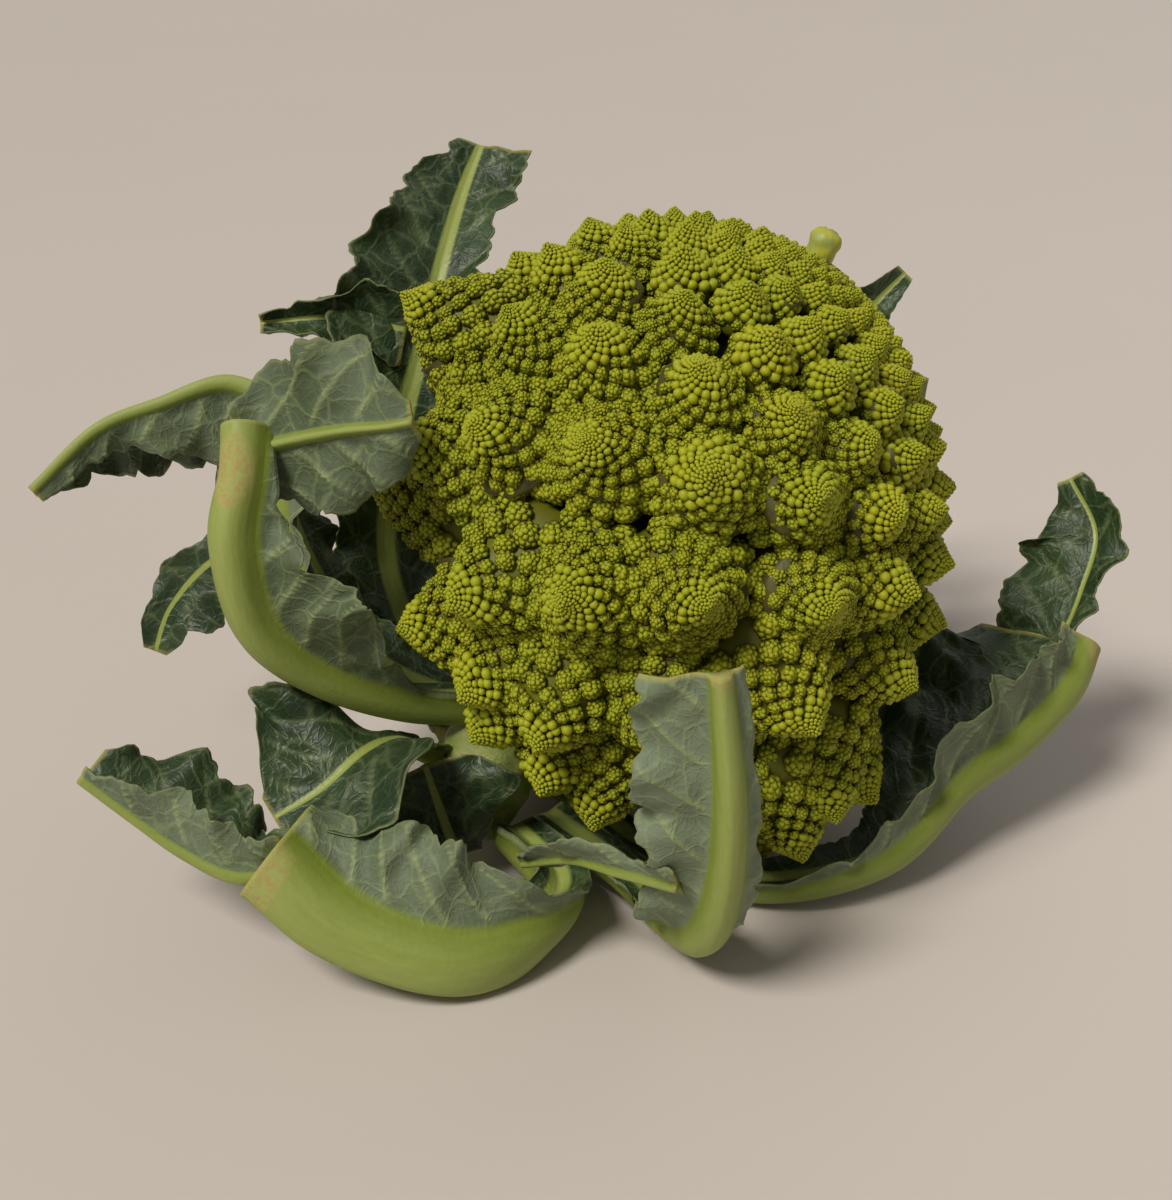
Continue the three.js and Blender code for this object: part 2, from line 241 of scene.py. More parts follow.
def fill(tree, socket, value):
    """Links a socket to a value's own socket, or sets it."""
    value = plain(value)
    if isinstance(value, bpy.types.NodeSocket):
        tree.links.new(value, socket)
    else:
        socket.default_value = value


def node(tree, kind, inputs=None, **settings):
    """A new node with its settings and inputs."""
    made = tree.nodes.new(kind)
    for name, value in settings.items():
        setattr(made, name, value)
    for key, value in (inputs or {}).items():
        fill(tree, made.inputs[key], value)
    return made


def maths(tree, operation, *values):
    """A Math node's result."""
    return node(tree, "ShaderNodeMath", dict(enumerate(values)), operation=operation).outputs[0]


def new_tree(name, inputs):
    """A geometry node tree with these named inputs. Gives the tree, its inputs and its output."""
    tree = bpy.data.node_groups.new(name, "GeometryNodeTree")
    for label, kind in inputs:
        tree.interface.new_socket(name=label, in_out="INPUT", socket_type="NodeSocket" + kind)
    tree.interface.new_socket(
        name="Geometry", in_out="OUTPUT", socket_type="NodeSocketGeometry"
    )
    given = tree.nodes.new("NodeGroupInput").outputs
    return tree, given, tree.nodes.new("NodeGroupOutput").inputs["Geometry"]


def group(tree, inner, **inputs):
    """Another tree used as a node: what it makes."""
    named = {name.replace("_", " ").capitalize(): value for name, value in inputs.items()}
    made = tree.nodes.new("GeometryNodeGroup")
    made.node_tree = inner
    for name, value in named.items():
        fill(tree, made.inputs[name], value)
    return made.outputs[0]


def joined(tree, parts):
    """Several geometries as one."""
    made = tree.nodes.new("GeometryNodeJoinGeometry")
    for part in parts:
        tree.links.new(part, made.inputs[0])
    return made.outputs[0]


def chance(tree, low, high, seed):
    """A different number for each element."""
    made = tree.nodes.new("FunctionNodeRandomValue")
    floats = [s for s in made.inputs if s.type == "VALUE"]
    fill(tree, floats[0], low)
    fill(tree, floats[1], high)
    fill(tree, made.inputs["Seed"], seed)
    return Number(tree, next(s for s in made.outputs if s.type == "VALUE"))


def attribute(tree, name, kind="FLOAT"):
    """A named attribute, read in a geometry tree."""
    made = node(tree, "GeometryNodeInputNamedAttribute", {"Name": name}, data_type=kind)
    return made.outputs[0]


def stored(tree, geometry, name, value, domain="POINT", kind="FLOAT"):
    """The geometry with an attribute stored on it."""
    made = tree.nodes.new("GeometryNodeStoreNamedAttribute")
    made.data_type, made.domain = kind, domain
    fill(tree, made.inputs["Geometry"], geometry)
    fill(tree, made.inputs["Name"], name)
    fill(tree, made.inputs["Value"], value)
    return made.outputs[0]


def standing(tree, facing, angle):
    """The rotation that stands a piece up along a vector, turned about its own axis."""
    stand = node(tree, "FunctionNodeAlignRotationToVector", {"Vector": facing})
    stand.axis = "Z"
    spin = node(
        tree, "FunctionNodeAxisAngleToRotation", {"Axis": (0, 0, 1), "Angle": angle}
    )
    turn = node(
        tree,
        "FunctionNodeRotateRotation",
        {"Rotation": stand.outputs[0], "Rotate By": spin.outputs[0]},
        rotation_space="LOCAL",
    )
    return turn.outputs[0]


# ---- Plain shapes that are repeated ----


def mesh_object(name, points, faces):
    """A mesh object at the origin, smooth, linked to the scene."""
    mesh = bpy.data.meshes.new(name)
    mesh.from_pydata([tuple(p) for p in points], [], faces)
    mesh.shade_smooth()
    made = bpy.data.objects.new(name, mesh)
    bpy.context.scene.collection.objects.link(made)
    return made


def turned_solid(name, outline, sides, most=1.0):
    """A closed solid of revolution: the outline runs from its lowest point to its highest, both
    on the axis. Each point keeps how high it is, from 0 at its foot to that most at its tip."""
    inner = outline[1:-1]
    points = [(0, 0, outline[0][1])]
    for row, (radius, height) in enumerate(inner):
        for i in range(sides):
            around = 2 * math.pi * (i + row / 2) / sides
            points.append((radius * math.cos(around), radius * math.sin(around), height))
    points.append((0, 0, outline[-1][1]))
    faces = []
    last = len(points) - 1
    for i in range(sides):
        after = (i + 1) % sides
        faces.append((0, 1 + after, 1 + i))
        for row in range(len(inner) - 1):
            a, b = 1 + row * sides, 1 + (row + 1) * sides
            faces.append((a + i, a + after, b + i))
            faces.append((a + after, b + after, b + i))
        top = 1 + (len(inner) - 1) * sides
        faces.append((top + i, top + after, last))
    made = mesh_object(name, points, faces)
    low, high = outline[0][1], outline[-1][1]
    rise = made.data.attributes.new("rise", "FLOAT", "POINT")
    rise.data.foreach_set("value", [most * (p[2] - low) / (high - low) for p in points])
    return made


def ring_faces(rings, sides):
    """The faces of a closed tube, whose points run round its top ring and so on down."""
    faces = [tuple(range(sides))]
    for ring in range(rings - 1):
        a, b = ring * sides, (ring + 1) * sides
        for i in range(sides):
            k = (i + 1) % sides
            faces.append((a + i, b + i, b + k, a + k))
    return faces + [tuple((rings - 1) * sides + i for i in reversed(range(sides)))]


def cone_outline(radius, tip_lean, rim_lean, sink, steps, foot):
    """The outline of a blunt cone whose sides steepen from its tip to its rim, sunk by that much,
    with a foot under it. The tip is at height 0 before it sinks."""
    tip, rim = math.radians(tip_lean), math.radians(rim_lean)
    rate = (math.sin(rim) - math.sin(tip)) / radius
    rows = []
    for i in range(1, steps + 1):
        here = tip + (rim - tip) * i / steps
        out = (math.sin(here) - math.sin(tip)) / rate
        rows.append((out * (1 - sink), (math.cos(here) - math.cos(tip)) / rate - sink * radius))
    low = rows[-1][1]
    below = [(0, low - foot), (rows[-1][0] * 0.8, low - foot * 0.8)]
    return [*below, *rows[::-1], (0, -sink * radius)]


# ---- The curd ----

FLORET_RADIUS, FLORET_TIP, FLORET_RIM = 0.47, 40, 68
FLORET_SPREAD = 1.16
SMALL_RADIUS, SMALL_TIP, SMALL_RIM = 0.45, 24, 66
CORE_SINK = 0.06
FLORET_SINK = 1.0
# In every spiral: a piece's slope over its place's, its width over its place's, and the share of
# the cone by its rim that stays bare
FACING_SLOPE, CROWDING, BARE_RIM = 0.8, 1.13, 0.07
# How many pieces a spiral may place: on a floret, on a whole small floret and on a simpler one
FLORET_COUNT, WHOLE_COUNT, SIMPLE_COUNT = 330, 80, 40
# A bud's least width on a whole small floret and on a simpler one, over the small floret's
WHOLE_BUD, SIMPLE_BUD = 0.155, 0.22
BUD_GROWTH = 0.36
SMALL_RAISED = 0.3
# Floret kinds: the width from which a floret is of that kind, the width that its detail is set
# for, and how many variants there are.
KINDS = ((27, 36, 3), (17, 24.5, 3), (9, 14.5, 2), (4, 7, 1), (0, 2.8, 1))


def floret_width(from_apex, largest, smallest):
    """A floret's width at an angle from the apex."""
    return max(smallest, largest * min(1.0, (from_apex / 1.66) ** SIZE_POWER))


def floret_places(largest, smallest):
    """Every floret: the way it faces, its width and its height off the dome, in millimetres."""
    places = []
    turn = lean()
    from_apex = LAST_FLORET_ANGLE
    count = 0
    while from_apex > 0.012:
        around = LOWEST_FLORET_SIDE + count * GOLDEN_ANGLE
        width = floret_width(from_apex, largest, smallest)
        low = from_apex * (1 + LOPSIDED * math.cos(around - LOW_SIDE))
        out = math.sin(low)
        facing = turn @ Vector((out * math.cos(around), out * math.sin(around), math.cos(low)))
        places.append((facing, width, 0))
        from_apex -= PACKING * width**2 / (2 * math.pi * HEAD_SIZE.y**2 * math.sin(from_apex))
        count += 1
    more = [(Vector(facing).normalized(), width, lift) for facing, width, lift in SIDE_FLORETS]
    return more + places


def dome_point(facing, depth):
    """The dome's surface, or a depth under it, that way from the head's middle."""
    droop = DROOP * max(0.0, facing.dot(DROOP_SIDE)) ** 6
    spread = Vector(a * b for a, b in zip(facing, HEAD_SIZE))
    return spread + facing * (droop - depth) + HEAD_CENTRE


def kind_of(width, count):
    """The number of a floret's kind and variant."""
    first = 0
    for least, _, variants in KINDS:
        if width >= least:
            return first + count % variants
        first += variants
    return first


def spiral_tree():
    """Pieces in a spiral on a blunt cone. They keep one width near its tip, and grow with their
    distance from it further out. Only those from one width up to another are placed."""
    tree, given, result = new_tree(
        "Spiral on a cone",
        [
            ("Piece", "Geometry"),
            ("Count", "Int"),
            ("Growth", "Float"),
            ("Smallest", "Float"),
            ("From", "Float"),
            ("To", "Float"),
            ("Radius", "Float"),
            ("Tip lean", "Float"),
            ("Rim lean", "Float"),
            ("Irregular", "Float"),
            ("Mark", "String"),
            ("Seed", "Int"),
        ],
    )

    def value(name):
        return Number(tree, given[name])

    growth, smallest, radius = value("Growth"), value("Smallest"), value("Radius")
    tip, rim, irregular = value("Tip lean"), value("Rim lean"), value("Irregular")
    number = Number(tree, tree.nodes.new("GeometryNodeInputIndex").outputs[0])
    packing = 0.8
    flat = ((tip + rim) * 0.5).cosine() * math.pi
    inner = flat / (growth * growth * packing)
    spread = (number + 0.5) * packing / flat
    near = smallest * spread.made("SQRT")
    far = smallest / growth * ((number - inner) / (inner * 2.0)).made("EXPONENT")
    beyond = number.made("GREATER_THAN", inner.socket)
    jitter = chance(tree, -1.0, 1.0, given["Seed"]) * irregular
    along = (near + (far - near) * beyond) * (jitter * 0.5 + 1.0)
    swing = chance(tree, -1.0, 1.0, (value("Seed") + 1.0).socket) * irregular
    around = number * GOLDEN_ANGLE + swing
    rate = (rim.sine() - tip.sine()) / radius
    slope = tip + rate * along
    out = (slope.sine() - tip.sine()) / rate
    high = (slope.cosine() - tip.cosine()) / rate
    place = node(
        tree,
        "ShaderNodeCombineXYZ",
        {0: out * around.cosine(), 1: out * around.sine(), 2: high},
    )
    facing = node(
        tree,
        "ShaderNodeCombineXYZ",
        {
            0: (slope * FACING_SLOPE).sine() * around.cosine(),
            1: (slope * FACING_SLOPE).sine() * around.sine(),
            2: (slope * FACING_SLOPE).cosine(),
        },
    )
    points = node(
        tree, "GeometryNodePoints", {"Count": given["Count"], "Position": place.outputs[0]}
    )
    width = smallest.made("MAXIMUM", (growth * along).socket)
    width = width * (chance(tree, -0.5, 0.6, (value("Seed") + 2.0).socket) * irregular + CROWDING)
    wide = width.made("GREATER_THAN", given["From"])
    narrow = 1.0 - width.made("GREATER_THAN", given["To"])
    on_cone = slope.made("LESS_THAN", (rim - (rim - tip) * BARE_RIM).socket)
    chosen = (wide * narrow * on_cone).made("GREATER_THAN", 0.5)
    turn = standing(tree, facing.outputs[0], chance(tree, 0.0, 2 * math.pi, given["Seed"]))
    placed_pieces = node(
        tree,
        "GeometryNodeInstanceOnPoints",
        {
            "Points": points.outputs[0],
            "Selection": chosen,
            "Instance": given["Piece"],
            "Rotation": turn,
            "Scale": width,
        },
    )
    reach = (slope - tip) / (rim - tip)
    marked = stored(tree, placed_pieces.outputs[0], given["Mark"], reach, "INSTANCE")
    tree.links.new(marked, result)
    return tree


def small_floret_tree(spiral):
    """One small floret, a unit wide: buds in a spiral over a solid middle."""
    tree, given, result = new_tree(
        "Small floret",
        [
            ("Bud", "Geometry"),
            ("Middle", "Geometry"),
            ("Count", "Int"),
            ("Smallest", "Float"),
            ("Seed", "Int"),
        ],
    )
    buds = group(
        tree,
        spiral,
        piece=given["Bud"],
        count=given["Count"],
        growth=BUD_GROWTH,
        smallest=given["Smallest"],
        to=9.0,
        radius=SMALL_RADIUS,
        tip_lean=math.radians(SMALL_TIP),
        rim_lean=math.radians(SMALL_RIM),
        irregular=0.08,
        mark="bud_reach",
        seed=given["Seed"],
    )
    raised = node(
        tree,
        "GeometryNodeTransform",
        {"Geometry": joined(tree, [buds, given["Middle"]]), "Translation": (0, 0, SMALL_RAISED)},
    )
    tree.links.new(raised.outputs[0], result)
    return tree


def floret_tree(spiral, small):
    """One floret, a unit wide: small florets on a blunt cone, whole ones by its rim, then simpler
    ones, and single buds by its tip."""
    tree, given, result = new_tree(
        "Floret",
        [
            ("Point bud", "Geometry"),
            ("Round bud", "Geometry"),
            ("Small middle", "Geometry"),
            ("Middle", "Geometry"),
            ("Count", "Int"),
            ("Growth", "Float"),
            ("Smallest", "Float"),
            ("Whole from", "Float"),
            ("Simple from", "Float"),
            ("Fine bud", "Float"),
            ("Seed", "Int"),
        ],
    )

    def spiralled(piece, least, most):
        return group(
            tree,
            spiral,
            piece=piece,
            count=given["Count"],
            growth=given["Growth"],
            smallest=given["Smallest"],
            **{"from": least, "to": most},
            radius=FLORET_RADIUS,
            tip_lean=math.radians(FLORET_TIP),
            rim_lean=math.radians(FLORET_RIM),
            irregular=0.06,
            mark="reach",
            seed=given["Seed"],
        )

    whole_from, simple_from = given["Whole from"], given["Simple from"]
    bud = Number(tree, given["Fine bud"])
    whole_size = bud / (Number(tree, whole_from) * 1.35)
    simple_size = bud / (Number(tree, simple_from) * 1.45)
    parts = {"bud": given["Point bud"], "middle": given["Small middle"], "seed": given["Seed"]}
    whole_bud = whole_size.made("MAXIMUM", WHOLE_BUD)
    simple_bud = simple_size.made("MAXIMUM", SIMPLE_BUD)
    whole = group(tree, small, count=WHOLE_COUNT, smallest=whole_bud, **parts)
    simple = group(tree, small, count=SIMPLE_COUNT, smallest=simple_bud, **parts)
    floret = joined(
        tree,
        [
            spiralled(whole, whole_from, 9.0),
            spiralled(simple, simple_from, whole_from),
            spiralled(given["Round bud"], 0.0, simple_from),
            given["Middle"],
        ],
    )
    tree.links.new(floret, result)
    return tree


def curd_tree(kinds):
    """The curd's florets on their places, as a mesh, a little uneven, with the two numbers that
    set each point's colour in its map: how yellow it is, and how far out it lies, which paints
    shade on the feet of buds and the rims of small florets and florets."""
    tree, given, result = new_tree(
        "Curd",
        [
            ("Geometry", "Geometry"),
            ("Point bud", "Object"),
            ("Round bud", "Object"),
            ("Small middle", "Object"),
            ("Middle", "Object"),
            ("Growth", "Float"),
            ("Smallest bud", "Float"),
            ("Fine bud", "Float"),
            ("Whole from", "Float"),
            ("Simple from", "Float"),
            ("Unevenness", "Float"),
            ("Seed", "Int"),
            ("Finish", "Material"),
        ],
    )

    def shape(name):
        made = node(tree, "GeometryNodeObjectInfo", {"Object": given[name]})
        return made.outputs["Geometry"]

    spiral = spiral_tree()
    floret = floret_tree(spiral, small_floret_tree(spiral))
    shapes = {
        "point_bud": shape("Point bud"),
        "round_bud": shape("Round bud"),
        "small_middle": shape("Small middle"),
        "middle": shape("Middle"),
    }
    number = attribute(tree, "kind")
    turn = standing(
        tree, attribute(tree, "facing", "FLOAT_VECTOR"), attribute(tree, "spin")
    )
    parts = []
    first = 0
    for _, typical, variants in KINDS:
        for variant in range(variants):
            kind = first + variant
            if kind not in kinds:
                continue
            scale = 1 / (typical * MM)
            grows = Number(tree, given["Growth"]) * (1 + 0.06 * (variant - 1))
            made = group(
                tree,
                floret,
                **shapes,
                count=FLORET_COUNT,
                growth=grows,
                smallest=(Number(tree, given["Smallest bud"]) * scale).made("MINIMUM", 0.3),
                whole_from=Number(tree, given["Whole from"]) * scale,
                simple_from=Number(tree, given["Simple from"]) * scale,
                fine_bud=Number(tree, given["Fine bud"]) * scale,
                seed=Number(tree, given["Seed"]) + 10.0 * kind,
            )
            here = node(
                tree, "ShaderNodeMath", {0: number, 1: float(kind), 2: 0.1}, operation="COMPARE"
            )
            on_places = node(
                tree,
                "GeometryNodeInstanceOnPoints",
                {
                    "Points": given["Geometry"],
                    "Selection": here.outputs[0],
                    "Instance": made,
                    "Rotation": turn,
                    "Scale": attribute(tree, "width"),
                },
            )
            parts.append(on_places.outputs[0])
        first += variants
    whole = node(tree, "GeometryNodeRealizeInstances", {0: joined(tree, parts)}).outputs[0]
    stray = node(tree, "ShaderNodeTexNoise", {"Scale": 65.0, "Detail": 1.0})
    centred = node(
        tree,
        "ShaderNodeVectorMath",
        {0: stray.outputs["Color"], 1: (0.5, 0.5, 0.5)},
        operation="SUBTRACT",
    )
    offset = node(
        tree,
        "ShaderNodeVectorMath",
        {0: centred.outputs[0], "Scale": given["Unevenness"]},
        operation="SCALE",
    )
    moved = node(
        tree, "GeometryNodeSetPosition", {"Geometry": whole, "Offset": offset.outputs[0]}
    ).outputs[0]
    patch = node(tree, "ShaderNodeTexNoise", {"Scale": 30.0, "Detail": 3.0}).outputs[0]
    reach = Number(tree, attribute(tree, "reach"))
    yellow = Number(tree, patch) * 0.9 + Number(tree, attribute(tree, "tone"))
    yellow = (yellow + reach * 0.25 - 0.35).clamped()
    foot = Number(tree, attribute(tree, "bud_reach"))
    rise = Number(tree, attribute(tree, "rise"))
    # Painted shade: bud feet, the rims of small florets and the rims of florets darken towards
    # the shade colour
    lit_share = rise * 0.75 + 0.3 - foot * foot * 0.5 - reach * reach * reach * 0.3
    lit_share = lit_share.clamped()
    both = node(tree, "ShaderNodeCombineXYZ", {0: yellow * 0.96 + 0.02, 1: lit_share * 0.96 + 0.02})
    mapped = stored(tree, moved, "OFBake", both.outputs[0], "CORNER", "FLOAT2")
    smooth = node(tree, "GeometryNodeSetShadeSmooth", {"Geometry": mapped}).outputs[0]
    coated = node(
        tree, "GeometryNodeSetMaterial", {"Geometry": smooth, "Material": given["Finish"]}
    )
    tree.links.new(coated.outputs[0], result)
    return tree


def evaluated(name, base, tree, values):
    """A plain mesh object: what the tree makes of the base object, which is then removed."""
    modifier = base.modifiers.new("Build", "NODES")
    modifier.node_group = tree
    for item in tree.interface.items_tree:
        if item.in_out == "INPUT" and item.name in values:
            modifier[item.identifier] = values[item.name]
    bpy.context.view_layer.update()
    graph = bpy.context.evaluated_depsgraph_get()
    mesh = bpy.data.meshes.new_from_object(base.evaluated_get(graph), depsgraph=graph)
    mesh.name = name
    for kept in list(mesh.attributes):
        if kept.name in ("rise", "reach", "bud_reach", "tone", "kind", "width", "spin", "facing"):
            mesh.attributes.remove(kept)
    base.modifiers.remove(modifier)
    bpy.data.objects.remove(base)
    made = bpy.data.objects.new(name, mesh)
    bpy.context.scene.collection.objects.link(made)
    return made


def places_object(places, chance_of):
    """The florets' places as points that keep each floret's width, kind and the way it faces."""
    points = [placed(dome_point(facing, FLORET_SINK - lift)) for facing, _, lift, _ in places]
    made = mesh_object("places", points, [])
    rows = {"width": [], "kind": [], "spin": [], "tone": []}
    facings = []
    for facing, width, _, count in places:
        tilt = Vector(chance_of.normal(0, 0.1, 3)) if width > 9 else Vector((0, 0, 0))
        facings.extend((facing + tilt).normalized())
        spread = FLORET_SPREAD - 0.1 * min(1.0, max(0.0, (width - 26) / 10))
        rows["width"].append(width * spread * MM * chance_of.uniform(0.97, 1.05))
        rows["kind"].append(kind_of(width, count))
        rows["spin"].append(chance_of.uniform(0, 2 * math.pi))
        rows["tone"].append(chance_of.uniform(-0.12, 0.12))
    for name, values in rows.items():
        made.data.attributes.new(name, "FLOAT", "POINT").data.foreach_set("value", values)
    facing = made.data.attributes.new("facing", "FLOAT_VECTOR", "POINT")
    facing.data.foreach_set("vector", facings)
    return made


def finish_piece(piece, slot, *nodes):
    """Attaches the piece to the root body and hides the nodes that it stands for. Its slot is not
    used.
    """
    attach(piece, "root")
    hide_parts(*nodes)


# Triangles that a floret of each kind comes to, for sharing the curd out into pieces
KIND_WEIGHT = (17000, 11000, 4400, 1600, 600)
PIECE_WEIGHT = 180000


class ROMANESCO_OT_florets(bpy.types.Operator):
    """Builds the curd's florets, each covered in smaller ones, down to its buds"""

    bl_idname = "romanesco.florets"
    bl_label = "Florets"

    def execute(self, context):
        sizes = context.scene.romanesco_sizes
        places = floret_places(sizes.largest_floret / MM, sizes.smallest_floret / MM)
        places = [(*place, i) for i, place in enumerate(places)]
        shapes = {
            "Point bud": turned_solid("bud", [(0, -0.3), (0.62, -0.06), (0, 0.13)], 4),
            "Round bud": turned_solid(
                "round_bud", [(0, -0.4), (0.55, -0.12), (0.36, 0.27), (0, 0.5)], 6
            ),
            "Small middle": turned_solid(
                "small_middle",
                cone_outline(SMALL_RADIUS, SMALL_TIP, SMALL_RIM, 0.0, 2, 0.1),
                7,
                0.9,
            ),
            # The floret's middle keeps a rise of at most 0.15, so it takes the painted shade
            # colour where it shows between small florets
            "Middle": turned_solid(
                "middle",
                cone_outline(FLORET_RADIUS, FLORET_TIP, FLORET_RIM, CORE_SINK, 6, 0.2),
                12,
                0.15,
            ),
        }
        shared = np.random.default_rng(sizes.seed)
        finish = curd_finish()
        batch, weight, number = [], 0, 1
        for place in places:
            kind = next(i for i, row in enumerate(KINDS) if place[1] >= row[0])
            if weight + KIND_WEIGHT[kind] > PIECE_WEIGHT:
                self.build(f"florets_{number}", batch, shapes, sizes, shared, finish)
                batch, weight, number = [], 0, number + 1
            batch.append(place)
            weight += KIND_WEIGHT[kind]
        self.build(f"florets_{number}", batch, shapes, sizes, shared, finish)
        for shape in shapes.values():
            bpy.data.objects.remove(shape)
        return {"FINISHED"}

    def build(self, name, places, shapes, sizes, shared, finish):
        base = places_object(places, shared)
        tree = curd_tree({kind_of(width, count) for _, width, _, count in places})
        values = dict(shapes)
        values.update(
            {
                "Growth": sizes.growth,
                "Smallest bud": sizes.smallest_bud,
                "Fine bud": sizes.fine_bud * 1.0,
                "Whole from": sizes.whole_from,
                "Simple from": sizes.simple_from,
                "Unevenness": sizes.unevenness,
                "Seed": sizes.seed,
                "Finish": finish,
            }
        )
        piece = evaluated(name, base, tree, values)
        if not piece.data.polygons:
            raise RuntimeError(f"{name} came out empty")
        finish_piece(piece, "curd", "curd")


class ROMANESCO_OT_branches(bpy.types.Operator):
    """Builds the branches under the florets and the dome that they grow from"""

    bl_idname = "romanesco.branches"
    bl_label = "Branches"

    def execute(self, context):
        sizes = context.scene.romanesco_sizes
        largest, smallest = sizes.largest_floret / MM, sizes.smallest_floret / MM
        points, faces = dome_grid(largest, smallest)
        for facing, width, lift in floret_places(largest, smallest):
            if width < 8:
                continue
            more, rows = branch(facing, width, lift)
            faces.extend(tuple(len(points) + i for i in face) for face in rows)
            points.extend(more)
        piece = mesh_object("branches", placed(points), faces)
        piece.data.materials.append(branch_finish())
        finish_piece(piece, "curd", "curd")
        return {"FINISHED"}


def dome_grid(largest, smallest):
    """The dome under the florets, running down into a neck by the stalk."""
    rows, columns = 40, 64
    turn = lean()
    points = []
    for i in range(rows + 1):
        angle = math.pi * (0.002 + 0.996 * i / rows)
        for j in range(columns):
            around = 2 * math.pi * j / columns
            out = math.sin(angle)
            facing = turn @ Vector(
                (out * math.cos(around), out * math.sin(around), math.cos(angle))
            )
            neck = max(0.0, angle - LAST_FLORET_ANGLE)
            width = floret_width(angle, largest, smallest)
            depth = 0.8 * width + 2 + 36 * neck
            depth += 1.5 * noise.noise(facing * 9)
            points.append(dome_point(facing, depth))
    return points, ring_faces(rows + 1, columns)


def branch(facing, width, lift):
    """A tapering stem from inside a floret down into the dome."""
    sides = 10
    turn = Vector((0, 0, 1)).rotation_difference(facing)
    foot = dome_point(facing, -lift)
    rows = [(0.36, -0.5), (0.33, -0.66), (0.25, -0.85), (0.22, -1.0), (0.24, -1.2)]
    points = []
    for radius, height in rows:
        for i in range(sides):
            around = 2 * math.pi * i / sides
            local = Vector((radius * math.cos(around), radius * math.sin(around), height))
            points.append(turn @ (local * width) + foot)
    return points, ring_faces(len(rows), sides)


class ROMANESCO_OT_broken_floret(bpy.types.Operator):
    """Builds the pale stump of a floret that broke off near the apex"""

    bl_idname = "romanesco.broken_floret"
    bl_label = "Broken floret"

    def execute(self, context):
        rows, columns = 22, 24
        facing = (STUMP_SIDE * 0.7 + Vector((0, 0, 0.5))).normalized()
        turn = Vector((0, 0, 1)).rotation_difference(facing)
        foot = dome_point(STUMP_SIDE, 7)
        points = []
        for i in range(rows + 1):
            share = i / rows
            swell = 3.4 + 1.7 * share**3
            dome = math.sqrt(max(0.0, 1 - max(0.0, (share - 0.72) / 0.285) ** 2))
            for j in range(columns):
                around = 2 * math.pi * j / columns
                side = Vector((math.cos(around), math.sin(around), 3 * share))
                radius = swell * dome + 0.45 * noise.noise(side * 1.7) * dome
                height = 13 * share + 0.5 * noise.noise(side * 2.6 + Vector((5, 0, 0)))
                local = Vector((radius * side.x, radius * side.y, height))
                points.append(turn @ local + foot)
        faces = [tuple(reversed(range(columns)))]
        for i in range(rows):
            for j in range(columns):
                k = (j + 1) % columns
                a, b = i * columns, (i + 1) * columns
                faces.append((a + j, a + k, b + k, b + j))
        faces.append(tuple(rows * columns + j for j in range(columns)))
        piece = mesh_object("broken_floret", placed(points), faces)
        piece.data.materials.append(stump_finish())
        finish_piece(piece, "curd", "curd")
        return {"FINISHED"}


# ---- Leaves ----

